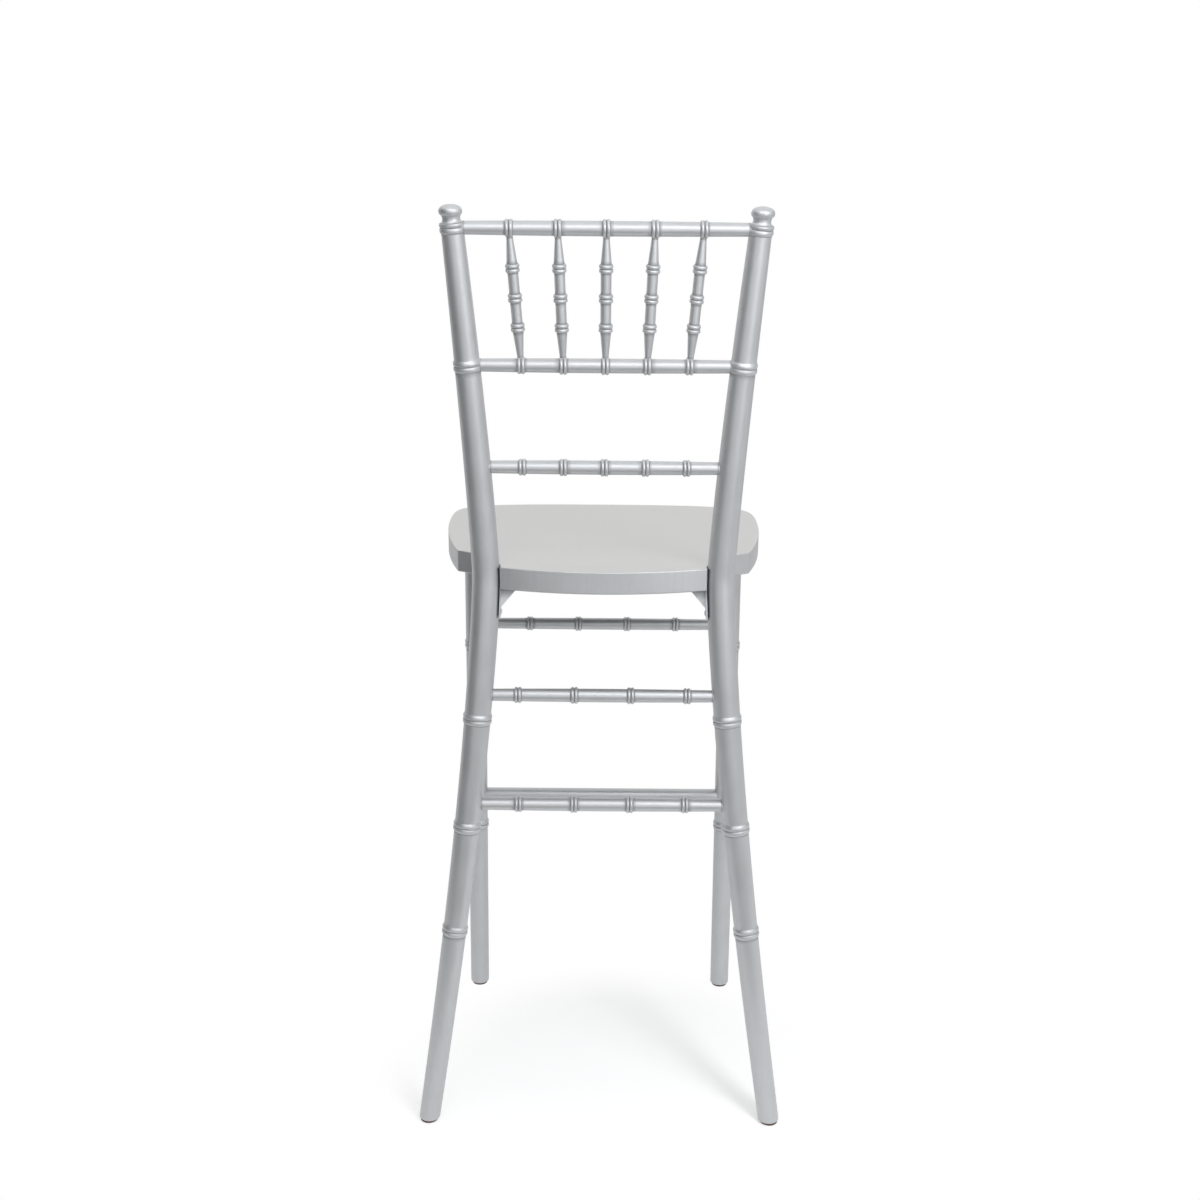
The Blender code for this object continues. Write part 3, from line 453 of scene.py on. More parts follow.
class Graph:
    """The node tree of a material or a world, with short calls for the nodes used here."""

    def __init__(self, owner):
        owner.use_nodes = True
        self.owner = owner
        self.nodes = owner.node_tree.nodes
        self.links = owner.node_tree.links

    def add(self, kind, **settings):
        """A new node with these settings."""
        node = self.nodes.new(kind)
        for key, value in settings.items():
            setattr(node, key, value)
        return node

    def connect(self, value, socket):
        """Links an output to a socket, or sets a plain value on it."""
        if isinstance(value, bpy.types.NodeSocket):
            self.links.new(value, socket)
        else:
            socket.default_value = value

    def set(self, **values):
        """Sets or links inputs of the shader, with underscores for spaces in their names."""
        shader = self.nodes["Principled BSDF"]
        for key, value in values.items():
            self.connect(value, shader.inputs[key.replace("_", " ")])

    def coordinates(self, stretch_by=(1, 1, 1)):
        """The piece's own coordinates, moved at random for each piece and stretched."""
        place = self.add("ShaderNodeTexCoord").outputs["Object"]
        chance = self.add("ShaderNodeObjectInfo").outputs["Random"]
        mapping = self.add("ShaderNodeMapping")
        self.connect(place, mapping.inputs["Vector"])
        self.connect(chance, mapping.inputs["Location"])
        self.connect(stretch_by, mapping.inputs["Scale"])
        return mapping.outputs["Vector"]

    def noise(self, coordinates, scale, detail=2.0, roughness=0.5):
        """A cloudy value about 0.5."""
        node = self.add("ShaderNodeTexNoise")
        self.connect(coordinates, node.inputs["Vector"])
        node.inputs["Scale"].default_value = scale
        node.inputs["Detail"].default_value = detail
        node.inputs["Roughness"].default_value = roughness
        return node.outputs["Fac"]

    def cells(self, coordinates, scale):
        """A random value for each small cell."""
        node = self.add("ShaderNodeTexVoronoi")
        self.connect(coordinates, node.inputs["Vector"])
        node.inputs["Scale"].default_value = scale
        return node.outputs["Color"]

    def attribute(self, name):
        """A value stored on the mesh's points."""
        return self.add("ShaderNodeAttribute", attribute_name=name).outputs["Fac"]

    def math(self, operation, first, second):
        """What one operation makes of two values."""
        node = self.add("ShaderNodeMath", operation=operation)
        self.connect(first, node.inputs[0])
        self.connect(second, node.inputs[1])
        return node.outputs[0]

    def facing_up(self):
        """1 on faces that look up, 0 on upright ones and -1 on faces that look down."""
        parts = self.add("ShaderNodeSeparateXYZ")
        self.connect(self.add("ShaderNodeNewGeometry").outputs["Normal"], parts.inputs[0])
        return parts.outputs["Z"]

    def span(self, value, low, high, start=0.0, end=1.0, **settings):
        """Maps a value between start and end onto the range from low to high."""
        node = self.add("ShaderNodeMapRange", **settings)
        self.connect(value, node.inputs["Value"])
        limits = {"From Min": start, "From Max": end, "To Min": low, "To Max": high}
        for key, limit in limits.items():
            self.connect(limit, node.inputs[key])
        return node.outputs["Result"]

    def blend(self, share, first, second):
        """A colour between two others, each given by three numbers or an output."""
        node = self.add("ShaderNodeMix", data_type="RGBA")
        self.connect(share, node.inputs["Factor"])
        for key, colour in (("A", first), ("B", second)):
            is_output = isinstance(colour, bpy.types.NodeSocket)
            self.connect(colour if is_output else (*colour, 1.0), node.inputs[key])
        return node.outputs["Result"]

    def bump(self, height, strength, depth, under=None):
        """A normal tilted by a height, over another bump where one is given."""
        node = self.add("ShaderNodeBump")
        node.inputs["Strength"].default_value = strength
        node.inputs["Distance"].default_value = depth
        self.connect(height, node.inputs["Height"])
        if under is not None:
            self.connect(under, node.inputs["Normal"])
        return node.outputs["Normal"]

    def ray_kinds(self):
        """1 for rays from the camera, and 1 for rays that are mirrored or pass through something."""
        path = self.add("ShaderNodeLightPath").outputs
        mirrored = self.math("MAXIMUM", path["Is Glossy Ray"], path["Is Transmission Ray"])
        return path["Is Camera Ray"], mirrored

    def glow(self, strength):
        """A white glow."""
        node = self.add("ShaderNodeEmission")
        self.connect(strength, node.inputs["Strength"])
        return node.outputs[0]

    def surface(self, shading):
        """Shows this shading in place of the default shader."""
        self.nodes.remove(self.nodes["Principled BSDF"])
        self.connect(shading, self.nodes["Material Output"].inputs["Surface"])


# Colours of the silver paint, its wear, and the painted light and shade on it
SILVER_DARK = (0.555, 0.563, 0.576)
SILVER_PALE = (0.631, 0.641, 0.655)
SILVER_FLAKE = (0.79, 0.80, 0.82)
PAINTED_TOP_LIGHT = (0.71, 0.701, 0.685)
GRAIN_STREAK = (0.40, 0.40, 0.405)
RUBBED_CREST = (0.72, 0.725, 0.735)
GROOVE_PAINTED_SHADE = (0.05, 0.049, 0.047)
UNDERSIDE_PAINTED_SHADE = (0.07, 0.068, 0.065)

# How far each of them shows, and how much dust dulls the paint
FLAKE_SHARE = 0.22
CREST_SHARE = 0.20
GROOVE_SHADE_SHARE = 0.36
DUST_DULLNESS = 0.25

# Colours of the zinc plate, the painted shadow on it, and the plastic
ZINC_DARK = (0.80, 0.82, 0.85)
ZINC_PALE = (0.90, 0.91, 0.94)
BRACKET_PAINTED_SHADOW = (0.10, 0.10, 0.10)
BRACKET_SHADOW_SHARE = 0.80
PLASTIC_DARK = (0.085, 0.040, 0.026)
PLASTIC_SCUFF = (0.16, 0.085, 0.06)

# How textures are stretched along the wood's grain and the steel's brushing
ALONG_GRAIN = (1, 1, 0.04)
ALONG_BRUSHING = (1, 0.05, 1)


def silver_paint(name, streak_share, top_painted_light=0.0, underside_painted_shade=0.0):
    """Satin metallic silver paint on wood: flakes, faint grain, clouding, painted shade in grooves and
    joints, and rubbed crests.

    streak_share is how far the grain shows, the next argument how far faces that look up are painted paler as
    painted light, and the last how far faces that look down are painted dark as painted shade.
    """
    graph = Graph(bpy.data.materials.new(name))
    place = graph.coordinates()
    clouds = graph.noise(place, scale=26, detail=3)
    grain = graph.noise(graph.coordinates(ALONG_GRAIN), scale=520, detail=3, roughness=0.6)
    peel = graph.noise(place, scale=620)
    flakes = graph.cells(place, scale=2400)
    groove = graph.attribute("groove")
    crest = graph.attribute("crest")
    upward = graph.facing_up()
    colour = graph.blend(clouds, SILVER_DARK, SILVER_PALE)
    colour = graph.blend(graph.span(flakes, 0.0, FLAKE_SHARE), colour, SILVER_FLAKE)
    # Painted light: faces that look up are made paler, as if the seat's top were lit more than its sides.
    colour = graph.blend(graph.span(upward, 0.0, top_painted_light, start=0.5, end=0.9), colour, PAINTED_TOP_LIGHT)
    colour = graph.blend(graph.span(grain, 0.0, streak_share, start=0.35, end=0.75), colour, GRAIN_STREAK)
    colour = graph.blend(graph.math("MULTIPLY", crest, CREST_SHARE), colour, RUBBED_CREST)
    # Painted shade: grooves, joint lines and crevices are darkened where shade falls in them.
    colour = graph.blend(graph.math("MULTIPLY", groove, GROOVE_SHADE_SHARE), colour, GROOVE_PAINTED_SHADE)
    # Painted shade: faces that look down are made dark, standing in for the shade under the seat.
    colour = graph.blend(graph.span(upward, underside_painted_shade, 0.0, start=-0.9, end=-0.5), colour, UNDERSIDE_PAINTED_SHADE)
    satin = graph.span(clouds, 0.38, 0.48)
    roughness = graph.math("ADD", satin, graph.math("MULTIPLY", groove, DUST_DULLNESS))
    grain_bump = graph.bump(grain, strength=0.10, depth=0.0002)
    peel_bump = graph.bump(peel, strength=0.10, depth=0.0003, under=grain_bump)
    flake_bump = graph.bump(flakes, strength=0.06, depth=0.0001, under=peel_bump)
    graph.set(Base_Color=colour, Roughness=roughness, Normal=flake_bump)
    graph.set(Metallic=0.55, Coat_Weight=0.08, Coat_Roughness=0.25)
    return graph.owner


def zinc_steel():
    """Bright zinc plate with a fine brushed grain and a faint crystalline cloud, with a painted shadow
    towards its upper edge.
    """
    graph = Graph(bpy.data.materials.new("bright_zinc_plate"))
    brushed = graph.noise(graph.coordinates(ALONG_BRUSHING), scale=1500)
    clouds = graph.noise(graph.coordinates(), scale=180, detail=3)
    colour = graph.blend(clouds, ZINC_DARK, ZINC_PALE)
    # Painted shadow: the bracket is made darker towards its upper edge, where the seat shades it.
    painted_shadow = graph.span(graph.attribute("groove"), 0.0, BRACKET_SHADOW_SHARE, start=0.45)
    colour = graph.blend(painted_shadow, colour, BRACKET_PAINTED_SHADOW)
    roughness = graph.span(brushed, 0.28, 0.44)
    fine_lines = graph.bump(brushed, strength=0.12, depth=0.0001)
    graph.set(Base_Color=colour, Roughness=roughness, Normal=fine_lines, Metallic=0.6)
    return graph.owner


def brown_plastic():
    """Moulded brown plastic, scuffed dull."""
    graph = Graph(bpy.data.materials.new("brown_glide_plastic"))
    scuffs = graph.noise(graph.coordinates(), scale=700, detail=4, roughness=0.7)
    colour = graph.blend(scuffs, PLASTIC_DARK, PLASTIC_SCUFF)
    roughness = graph.span(scuffs, 0.42, 0.68)
    scratches = graph.bump(scuffs, strength=0.15, depth=0.0002)
    graph.set(Base_Color=colour, Roughness=roughness, Normal=scratches)
    return graph.owner


SILVER = silver_paint("silver_metallic_paint", streak_share=0.10)
# The seat's paint carries a painted light on its top and a painted shade on its underside.
SEAT_SILVER = silver_paint("silver_seat_paint", streak_share=0.16, top_painted_light=0.75, underside_painted_shade=0.85)
ZINC = zinc_steel()
PLASTIC = brown_plastic()


def edge_stations(bottom, rounding, radius_at, steps):
    """The rounded lower edge of a leg or a glide, up to where its side begins."""
    stations = []
    for step in range(steps):
        angle = math.pi / 2 * step / steps
        place = bottom + rounding * (1 - math.cos(angle))
        radius = radius_at(place) - rounding * (1 - math.sin(angle))
        stations.append(Station(place, radius))
    return stations


def bun_point(angle):
    """(height, radius) on the finial's bun at this angle above its widest line."""
    rise = FINIAL_DOME_HEIGHT if angle > 0 else FINIAL_UNDERSIDE_HEIGHT
    power = 2 / (FINIAL_DOME_FULLNESS if angle > 0 else FINIAL_UNDERSIDE_FULLNESS)
    height = math.copysign(abs(math.sin(angle)) ** power, angle) * rise
    return FINIAL_MIDDLE + height, FINIAL_RADIUS * math.cos(angle) ** power


def finial_stations():
    """Hollow neck and flattened bun on top of a rear post, with painted shade in the crevices at the neck's
    two ends.
    """
    bun_start = -math.acos((FINIAL_NECK_TOP_RADIUS / FINIAL_RADIUS) ** (FINIAL_UNDERSIDE_FULLNESS / 2))
    neck_top = bun_point(bun_start)[0]
    stations = []
    for step in range(CURVE_STEPS):
        share = step / CURVE_STEPS
        edge = FINIAL_NECK_FOOT_RADIUS if share < 0.5 else FINIAL_NECK_TOP_RADIUS
        hollow = abs(2 * share - 1) ** FINIAL_NECK_HOLLOW
        radius = FINIAL_NECK_RADIUS + (edge - FINIAL_NECK_RADIUS) * hollow
        height = FINIAL_BOTTOM + (neck_top - FINIAL_BOTTOM) * share
        foot_shade = 1 - ramp(share, 0, FINIAL_FOOT_CREVICE_SHARE)
        top_shade = FINIAL_TOP_CREVICE_SHADE * ramp(share, 1 - FINIAL_TOP_CREVICE_SHARE, 1)
        stations.append(Station(height, radius, foot_shade + top_shade))
    rounds = 2 * CURVE_STEPS
    for step in range(rounds + 1):
        height, radius = bun_point(bun_start + (FINIAL_DOME_END - bun_start) * step / rounds)
        stations.append(Station(height, radius))
    return stations


def post_direction(height, side):
    """Direction of the post's axis, cut level near the floor and turned half upright at the finial."""
    above = post_centre(height + POST_DIRECTION_STEP, side)
    below = post_centre(height - POST_DIRECTION_STEP, side)
    level = max(0.0, 1 - height / FOOT_LEVEL_BELOW)
    if height > FINIAL_BOTTOM:
        level = FINIAL_UPRIGHT * min((height - FINIAL_BOTTOM) / FINIAL_NECK_LENGTH, 1.0)
    return (above - below).normalized().lerp(UP, level).normalized()


def shade_seat_joint(mesh, side, low, high):
    """Paints shade on a post's inner side between two levels, in the crevice where the seat and its bracket
    lie against it.
    """
    shades = mesh.attributes["groove"].data
    for vertex in mesh.vertices:
        if low <= vertex.co.z <= high:
            outward = vertex.co - post_centre(vertex.co.z, side)
            inward = -side * outward.x / outward.xy.length
            shades[vertex.index].value += SEAT_JOINT_SHADE * ramp(inward, SEAT_JOINT_EDGE, SEAT_JOINT_CORE)


def make_rear_post(word, side):
    """One bent, tapered and ring-turned post with its finial."""
    top_ring = CREST_RAIL_HEIGHT + TOP_RING_ABOVE_CREST_RAIL
    rings = list(LEG_RING_HEIGHTS) + [LOWER_BACK_RAIL_HEIGHT, top_ring]
    joint_ends = (SEAT_UNDERSIDE - BRACKET_POST_LEG, SEAT_HEIGHT - SEAT_EDGE_ROUND)
    foot = edge_stations(LEG_BOTTOM, FOOT_EDGE_ROUND, post_radius, FOOT_EDGE_STEPS)
    turned = turned_stations(FOOT_EDGE_TOP, FINIAL_BOTTOM, post_radius, rings, LEG_RING)
    for end in joint_ends:
        turned += [Station(end + step, post_radius(end + step)) for step in (-JOINT_STEP, 0, JOINT_STEP)]
    stations = foot + sorted(turned) + finial_stations()
    name = f"painted_rear_post_{word}"
    centre_at = partial(post_centre, side=side)
    direction_at = partial(post_direction, side=side)
    mesh = swept_mesh(name, stations, POST_SIDES, centre_at, direction_at)
    shade_seat_joint(mesh, side, *joint_ends)
    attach(add_piece(name, mesh, f"rear_post_{word}", SILVER), BODY)


def make_front_leg(word, side):
    """One straight turned front leg, up to the seat's underside."""
    axis = (leg_centre(SEAT_UNDERSIDE, side) - leg_centre(0, side)).normalized()
    top = SEAT_UNDERSIDE - FIT_CLEARANCE
    foot = edge_stations(LEG_BOTTOM, FOOT_EDGE_ROUND, leg_radius, FOOT_EDGE_STEPS)
    turned = turned_stations(FOOT_EDGE_TOP, top, leg_radius, LEG_RING_HEIGHTS, LEG_RING)
    name = f"painted_front_leg_{word}"
    centre_at = partial(leg_centre, side=side)
    mesh = swept_mesh(name, foot + turned, POST_SIDES, centre_at, lambda height: axis)
    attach(add_piece(name, mesh, f"front_leg_{word}", SILVER), BODY)


def make_turned_bar(node, stations, sides, start, end):
    """A painted bar turned about the line between two points, with its stations counted from the middle."""
    name = f"painted_{node}"
    piece = add_piece(name, lathe_mesh(name, stations, sides), node, SILVER)
    aim(piece, (start + end) / 2, end - start)
    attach(piece, BODY)


def make_rail(node, start, end, ring_places):
    """A ring-turned rail between two tenon ends, thinner at its ends."""
    half = (end - start).length / 2
    visible = half - RAIL_SOCKET_DEPTH

    def radius_at(place):
        share = min(abs(place) / visible, 1.0) ** 2
        return RAIL_RADIUS - (RAIL_RADIUS - RAIL_END_RADIUS) * share

    stations = turned_stations(-half, half, radius_at, ring_places, RAIL_RING, (-visible, visible))
    make_turned_bar(node, stations, RAIL_SIDES, start, end)


def across_ends(node):
    """Tenon ends of a rail that runs across the stool, from its packed box."""
    low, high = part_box(node)
    centre = middle(node)
    return Vector((high.x, centre.y, centre.z)), Vector((low.x, centre.y, centre.z))


def side_ends(height, side):
    """Tenon ends of a stretcher from a rear post to the front leg on the same side."""
    rear = post_centre(height, side)
    front = leg_centre(height, side)
    forward = (front - rear).normalized()
    start = rear + forward * (post_radius(height) - RAIL_SOCKET_DEPTH)
    end = front - forward * (leg_radius(height) - RAIL_SOCKET_DEPTH)
    return start, end


def make_rails():
    """Every ring-turned rail and stretcher."""
    stretcher_places = spread(STRETCHER_RINGS, STRETCHER_RING_SPACING)
    places = {
        "crest_rail": spread(SPINDLES, SPINDLE_TOP_SPACING),
        "lower_back_rail": spread(SPINDLES, SPINDLE_BOTTOM_SPACING),
        "lumbar_rail": spread(LUMBAR_RINGS, LUMBAR_RING_SPACING),
        "rear_upper_stretcher": stretcher_places,
        "rear_lower_stretcher": stretcher_places,
        "front_upper_stretcher": stretcher_places,
    }
    for node, ring_places in places.items():
        make_rail(node, *across_ends(node), ring_places)
    for word, side in SIDES_OF_STOOL.items():
        for level in ("upper", "lower"):
            node = f"side_{level}_stretcher_{word}"
            make_rail(node, *side_ends(middle(node).z, side), stretcher_places)


def make_footrest():
    """The plain round bar between the front legs."""
    start, end = across_ends("footrest")
    half = (end - start).length / 2
    stations = [Station(place, FOOTREST_RADIUS) for place in stretch(-half, half, PLAIN_STEP)]
    make_turned_bar("footrest", stations, RAIL_SIDES, start, end)


def make_spindle(index, place):
    """A back spindle with three ring pairs, coned down to its necks."""
    bottom = post_centre(LOWER_BACK_RAIL_HEIGHT)
    bottom.x = place * SPINDLE_BOTTOM_SPACING
    top = post_centre(CREST_RAIL_HEIGHT)
    top.x = place * SPINDLE_TOP_SPACING
    half = (top - bottom).length / 2
    shoulder = half - RAIL_RADIUS - RAIL_BEAD.height
    cone_foot = SPINDLE_RING_SPACING * (SPINDLE_RINGS - 1) / 2 + SPINDLE_BEAD.reach

    def radius_at(along):
        share = ramp(abs(along), cone_foot, shoulder)
        return SPINDLE_RADIUS - (SPINDLE_RADIUS - SPINDLE_NECK_RADIUS) * share

    rings = spread(SPINDLE_RINGS, SPINDLE_RING_SPACING)
    stations = turned_stations(-half, half, radius_at, rings, SPINDLE_RING, (-shoulder, shoulder))
    make_turned_bar(f"spindle_{index}", stations, SPINDLE_SIDES, bottom, top)


def tongue_half_width():
    """Half the width of the seat between the rear posts, which it meets side on."""
    heights = (SEAT_UNDERSIDE, POST_WAIST_HEIGHT, SEAT_HEIGHT)
    return min(post_centre(height).x - post_radius(height) for height in heights) - FIT_CLEARANCE


def seat_half_outline():
    """Points of the seat's left edge, from the middle of the front round to the middle of the rear."""
    # Front and side
    front = Vector((0, SEAT_LOW.y, 0))
    front_pull = Vector((SEAT_FRONT_CORNER_PULL, SEAT_LOW.y, 0))
    widest = Vector((SEAT_WIDTH / 2, SEAT_LOW.y + SEAT_WIDEST_FROM_FRONT, 0))
    widest_before = widest - BACK * SEAT_SIDE_FRONT_PULL
    points = interpolate_bezier(front, front_pull, widest_before, widest, SEAT_CURVE_POINTS)[:-1]

    # Ear in front of the post
    ear = Vector((SEAT_EAR_WIDTH / 2, SEAT_HIGH.y - SEAT_EAR_FROM_REAR, 0))
    side_lean = Vector((math.sin(SEAT_EAR_SIDE_ANGLE), -math.cos(SEAT_EAR_SIDE_ANGLE), 0))
    rear_lean = Vector((-math.cos(SEAT_EAR_REAR_ANGLE), math.sin(SEAT_EAR_REAR_ANGLE), 0))
    widest_after = widest + BACK * SEAT_SIDE_REAR_PULL
    ear_before = ear + side_lean * SEAT_SIDE_REAR_PULL
    points += interpolate_bezier(widest, widest_after, ear_before, ear, SEAT_CURVE_POINTS)
    points.append(ear + rear_lean * SEAT_EAR_REAR_LENGTH)

    # Round pocket for the post
    tongue = tongue_half_width()
    pocket_radius = POST_WAIST_SPACING / 2 - tongue
    pocket_front = Vector((POST_WAIST_SPACING / 2, POST_WAIST_Y - pocket_radius, 0))
    pocket_side = Vector((tongue, POST_WAIST_Y, 0))
    pocket_corner = Vector((tongue, pocket_front.y, 0))
    pulls = [end.lerp(pocket_corner, QUARTER_ARC_PULL) for end in (pocket_front, pocket_side)]
    points += interpolate_bezier(pocket_front, *pulls, pocket_side, CURVE_STEPS)

    # Bowed tongue between the posts
    corner = Vector((tongue, SEAT_HIGH.y - SEAT_TONGUE_BOW, 0))
    rear = Vector((0, SEAT_HIGH.y, 0))
    crown = Vector((tongue / 2, SEAT_HIGH.y, 0))
    pulls = [end.lerp(crown, PARABOLA_PULL) for end in (corner, rear)]
    points += interpolate_bezier(corner, *pulls, rear, SEAT_CURVE_POINTS)
    return points


def plate_mesh(name, outline, depth):
    """A flat closed plate with this outline, centred on its own plane."""
    shape = bmesh.new()
    corners = [shape.verts.new((point[0], point[1], -depth / 2)) for point in outline]
    face = shape.faces.new(corners)
    pushed = bmesh.ops.extrude_face_region(shape, geom=[face])
    moved = [item for item in pushed["geom"] if isinstance(item, bmesh.types.BMVert)]
    bmesh.ops.translate(shape, verts=moved, vec=(0, 0, depth))
    bmesh.ops.recalc_face_normals(shape, faces=shape.faces)
    mesh = bpy.data.meshes.new(name)
    shape.to_mesh(mesh)
    shape.free()
    return mesh


def round_edges(piece, width, segments, angle):
    """Rounds a plate's edges that are sharper than an angle, with the flats left flat."""
    piece.data.shade_smooth()
    bevel = piece.modifiers.new("rounded_edges", "BEVEL")
    bevel.width = width
    bevel.segments = segments
    bevel.limit_method = "ANGLE"
    bevel.angle_limit = angle
    bevel.harden_normals = True


def make_seat():
    """The notched seat slab with softly rounded edges."""
    left = seat_half_outline()
    outline = left + [point * FLIP for point in reversed(left[1:-1])]
    mesh = plate_mesh("painted_seat", outline, SEAT_HEIGHT - SEAT_UNDERSIDE)
    piece = add_piece("painted_seat", mesh, "seat", SEAT_SILVER)
    piece.location.z = (SEAT_HEIGHT + SEAT_UNDERSIDE) / 2
    round_edges(piece, SEAT_EDGE_ROUND, SEAT_EDGE_SEGMENTS, SEAT_EDGE_ANGLE)
    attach(piece, BODY)


def make_glide(node, foot):
    """A turned plastic glide under one foot."""
    stations = edge_stations(0.0, GLIDE_EDGE_ROUND, lambda place: GLIDE_RADIUS, GLIDE_EDGE_STEPS)
    stations += [Station(place, GLIDE_RADIUS) for place in (GLIDE_EDGE_ROUND, GLIDE_THICKNESS)]
    name = f"moulded_{node}"
    mesh = lathe_mesh(name, stations, SMALL_SIDES)
    piece = add_piece(name, mesh, node, PLASTIC)
    piece.location = (foot.x, foot.y, 0)
    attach(piece, BODY)


def strap_outline(length):
    """Outline of a bracket leg from its square end at 0 to its round end."""
    half = BRACKET_WIDTH / 2
    points = [(0, -half)]
    for step in range(CURVE_STEPS + 1):
        angle = math.pi * (step / CURVE_STEPS - 0.5)
        points.append((length - half + half * math.cos(angle), half * math.sin(angle)))
    points.append((0, half))
    return points


def bracket_corner(side):
    """The outer top corner of a bracket, under the seat and beside the post."""
    return Vector((side * tongue_half_width(), POST_WAIST_Y, SEAT_UNDERSIDE - FIT_CLEARANCE))


def bracket_directions(side):
    """Directions down a bracket's post leg, which leans along the post, and square from it into the post."""
    corner = bracket_corner(side)
    low = corner.z - BRACKET_POST_LEG
    inner = post_centre(low).x - post_radius(low) - FIT_CLEARANCE
    fall = Vector((inner - abs(corner.x), 0, -BRACKET_POST_LEG)).normalized()
    return Vector((side * fall.x, 0, fall.z)), Vector((-side * fall.z, 0, fall.x))


def plate_matrix(x_axis, y_axis, z_axis, origin):
    """The matrix that takes a plate's own axes to these directions."""
    return Matrix.Translation(origin) @ Matrix((x_axis, y_axis, z_axis)).transposed().to_4x4()


def applied_mesh(piece):
    """The piece's mesh with its modifiers applied."""
    bpy.context.view_layer.update()
    evaluated = piece.evaluated_get(bpy.context.evaluated_depsgraph_get())
    return bpy.data.meshes.new_from_object(evaluated)


def combine(base_mesh, operation, other_meshes):
    """One mesh made of a base and others, joined or cut by Booleans."""
    base = new_object("boolean_base", base_mesh)
    helpers = [new_object("boolean_helper", mesh) for mesh in other_meshes]
    for helper in helpers:
        boolean = base.modifiers.new("boolean", "BOOLEAN")
        boolean.operation = operation
        boolean.solver = "EXACT"
        boolean.object = helper
    mesh = applied_mesh(base)
    for obj in [base] + helpers:
        bpy.data.objects.remove(obj, do_unlink=True)
    return mesh


def shade_upper_corner(mesh, low, high):
    """Darkens a bracket towards its upper edge, as a painted shadow of the seat above it."""
    attribute = mesh.attributes.new("groove", "FLOAT", "POINT")
    for vertex in mesh.vertices:
        attribute.data[vertex.index].value = ramp(vertex.co.z, low, high)


def make_bracket(word, side):
    """A folded steel corner bracket with a gusset, under the seat and beside the rear post."""
    corner = bracket_corner(side)
    fall, into_post = bracket_directions(side)
    inward = Vector((-side, 0, 0))
    half = BRACKET_THICKNESS / 2
    gusset_outline = [(0, 0), (BRACKET_GUSSET_WIDTH, 0), (0, BRACKET_GUSSET_HEIGHT)]
    plates = (
        (strap_outline(BRACKET_POST_LEG), plate_matrix(fall, BACK, -into_post, corner - into_post * half)),
        (strap_outline(BRACKET_SEAT_LEG), plate_matrix(inward, BACK, -UP, corner - UP * half)),
        (gusset_outline, plate_matrix(inward, fall, BACK, corner + (inward - UP) * half)),
    )
    meshes = []
    for outline, matrix in plates:
        mesh = plate_mesh("bracket_plate", outline, BRACKET_THICKNESS)
        mesh.transform(matrix)
        if matrix.determinant() < 0:
            mesh.flip_normals()
        meshes.append(mesh)
    name = f"zinc_seat_bracket_{word}"
    mesh = combine(meshes[0], "UNION", meshes[1:])
    mesh.name = name
    shade_upper_corner(mesh, corner.z - BRACKET_GUSSET_HEIGHT, corner.z)
    piece = add_piece(name, mesh, f"seat_bracket_{word}", ZINC)
    round_edges(piece, BRACKET_EDGE_ROUND, BRACKET_EDGE_SEGMENTS, BRACKET_EDGE_ANGLE)
    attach(piece, BODY)


def cross_outline(length, width):
    """Outline of a cross with four equal arms."""
    far = length / 2
    near = width / 2
    arm = [(far, -near), (far, near), (near, near)]
    points = []
    for turns in range(4):
        cosine = math.cos(math.pi / 2 * turns)
        sine = math.sin(math.pi / 2 * turns)
        points += [(x * cosine - y * sine, x * sine + y * cosine) for x, y in arm]
    return points


def make_screw(node, head, direction):
    """A round screw head with a cross recess; head is the point under it."""
    stations = [Station(-SCREW_HEAD_HEIGHT, SCREW_HEAD_FLAT_RADIUS)]
    for step in range(1, CURVE_STEPS):
        angle = math.pi / 2 * step / CURVE_STEPS
        stations.append(Station(-SCREW_HEAD_HEIGHT * math.cos(angle), SCREW_HEAD_RADIUS * math.sin(angle)))
    stations.append(Station(0.0, SCREW_HEAD_RADIUS))
    cross = cross_outline(SCREW_RECESS_LENGTH, SCREW_RECESS_WIDTH)
    cutter = plate_mesh("screw_recess", cross, 2 * SCREW_RECESS_DEPTH)
    cutter.transform(Matrix.Translation((0, 0, -SCREW_HEAD_HEIGHT)))
    name = f"zinc_{node}"
    mesh = combine(lathe_mesh(name, stations, SMALL_SIDES), "DIFFERENCE", [cutter])
    piece = add_piece(name, mesh, node, ZINC)
    aim(piece, head, direction)
    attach(piece, BODY)


def make_screws(word, side):
    """The bracket's two screws, one into the post and one into the seat."""
    corner = bracket_corner(side)
    fall, into_post = bracket_directions(side)
    clear = BRACKET_THICKNESS + FIT_CLEARANCE
    post_head = corner + fall * (BRACKET_POST_LEG - SCREW_FROM_BRACKET_END) - into_post * clear
    make_screw(f"post_screw_{word}", post_head, into_post)
    inward = BRACKET_SEAT_LEG - SCREW_FROM_BRACKET_END
    seat_head = Vector((corner.x - side * inward, corner.y, corner.z - clear))
    make_screw(f"seat_screw_{word}", seat_head, UP)


def make_stool():
    """Every piece of the stool."""
    make_seat()
    make_rails()
    make_footrest()
    for index, place in enumerate(spread(SPINDLES, 1), start=1):
        make_spindle(index, place)
    for word, side in SIDES_OF_STOOL.items():
        make_rear_post(word, side)
        make_front_leg(word, side)
        make_glide(f"rear_glide_{word}", post_centre(0, side))
        make_glide(f"front_glide_{word}", leg_centre(0, side))
        make_bracket(word, side)
        make_screws(word, side)


# Photograph's frame, and the camera that was fitted to it
PHOTO_WIDTH = 1200
FOCAL_PIXELS = 1487.33
SENSOR_WIDTH = 36.0
CAMERA_PLACE = (0.0041, 1.918, 1.1938)
CAMERA_PITCH = math.radians(15.42)
CAMERA_ROLL = math.radians(0.45)


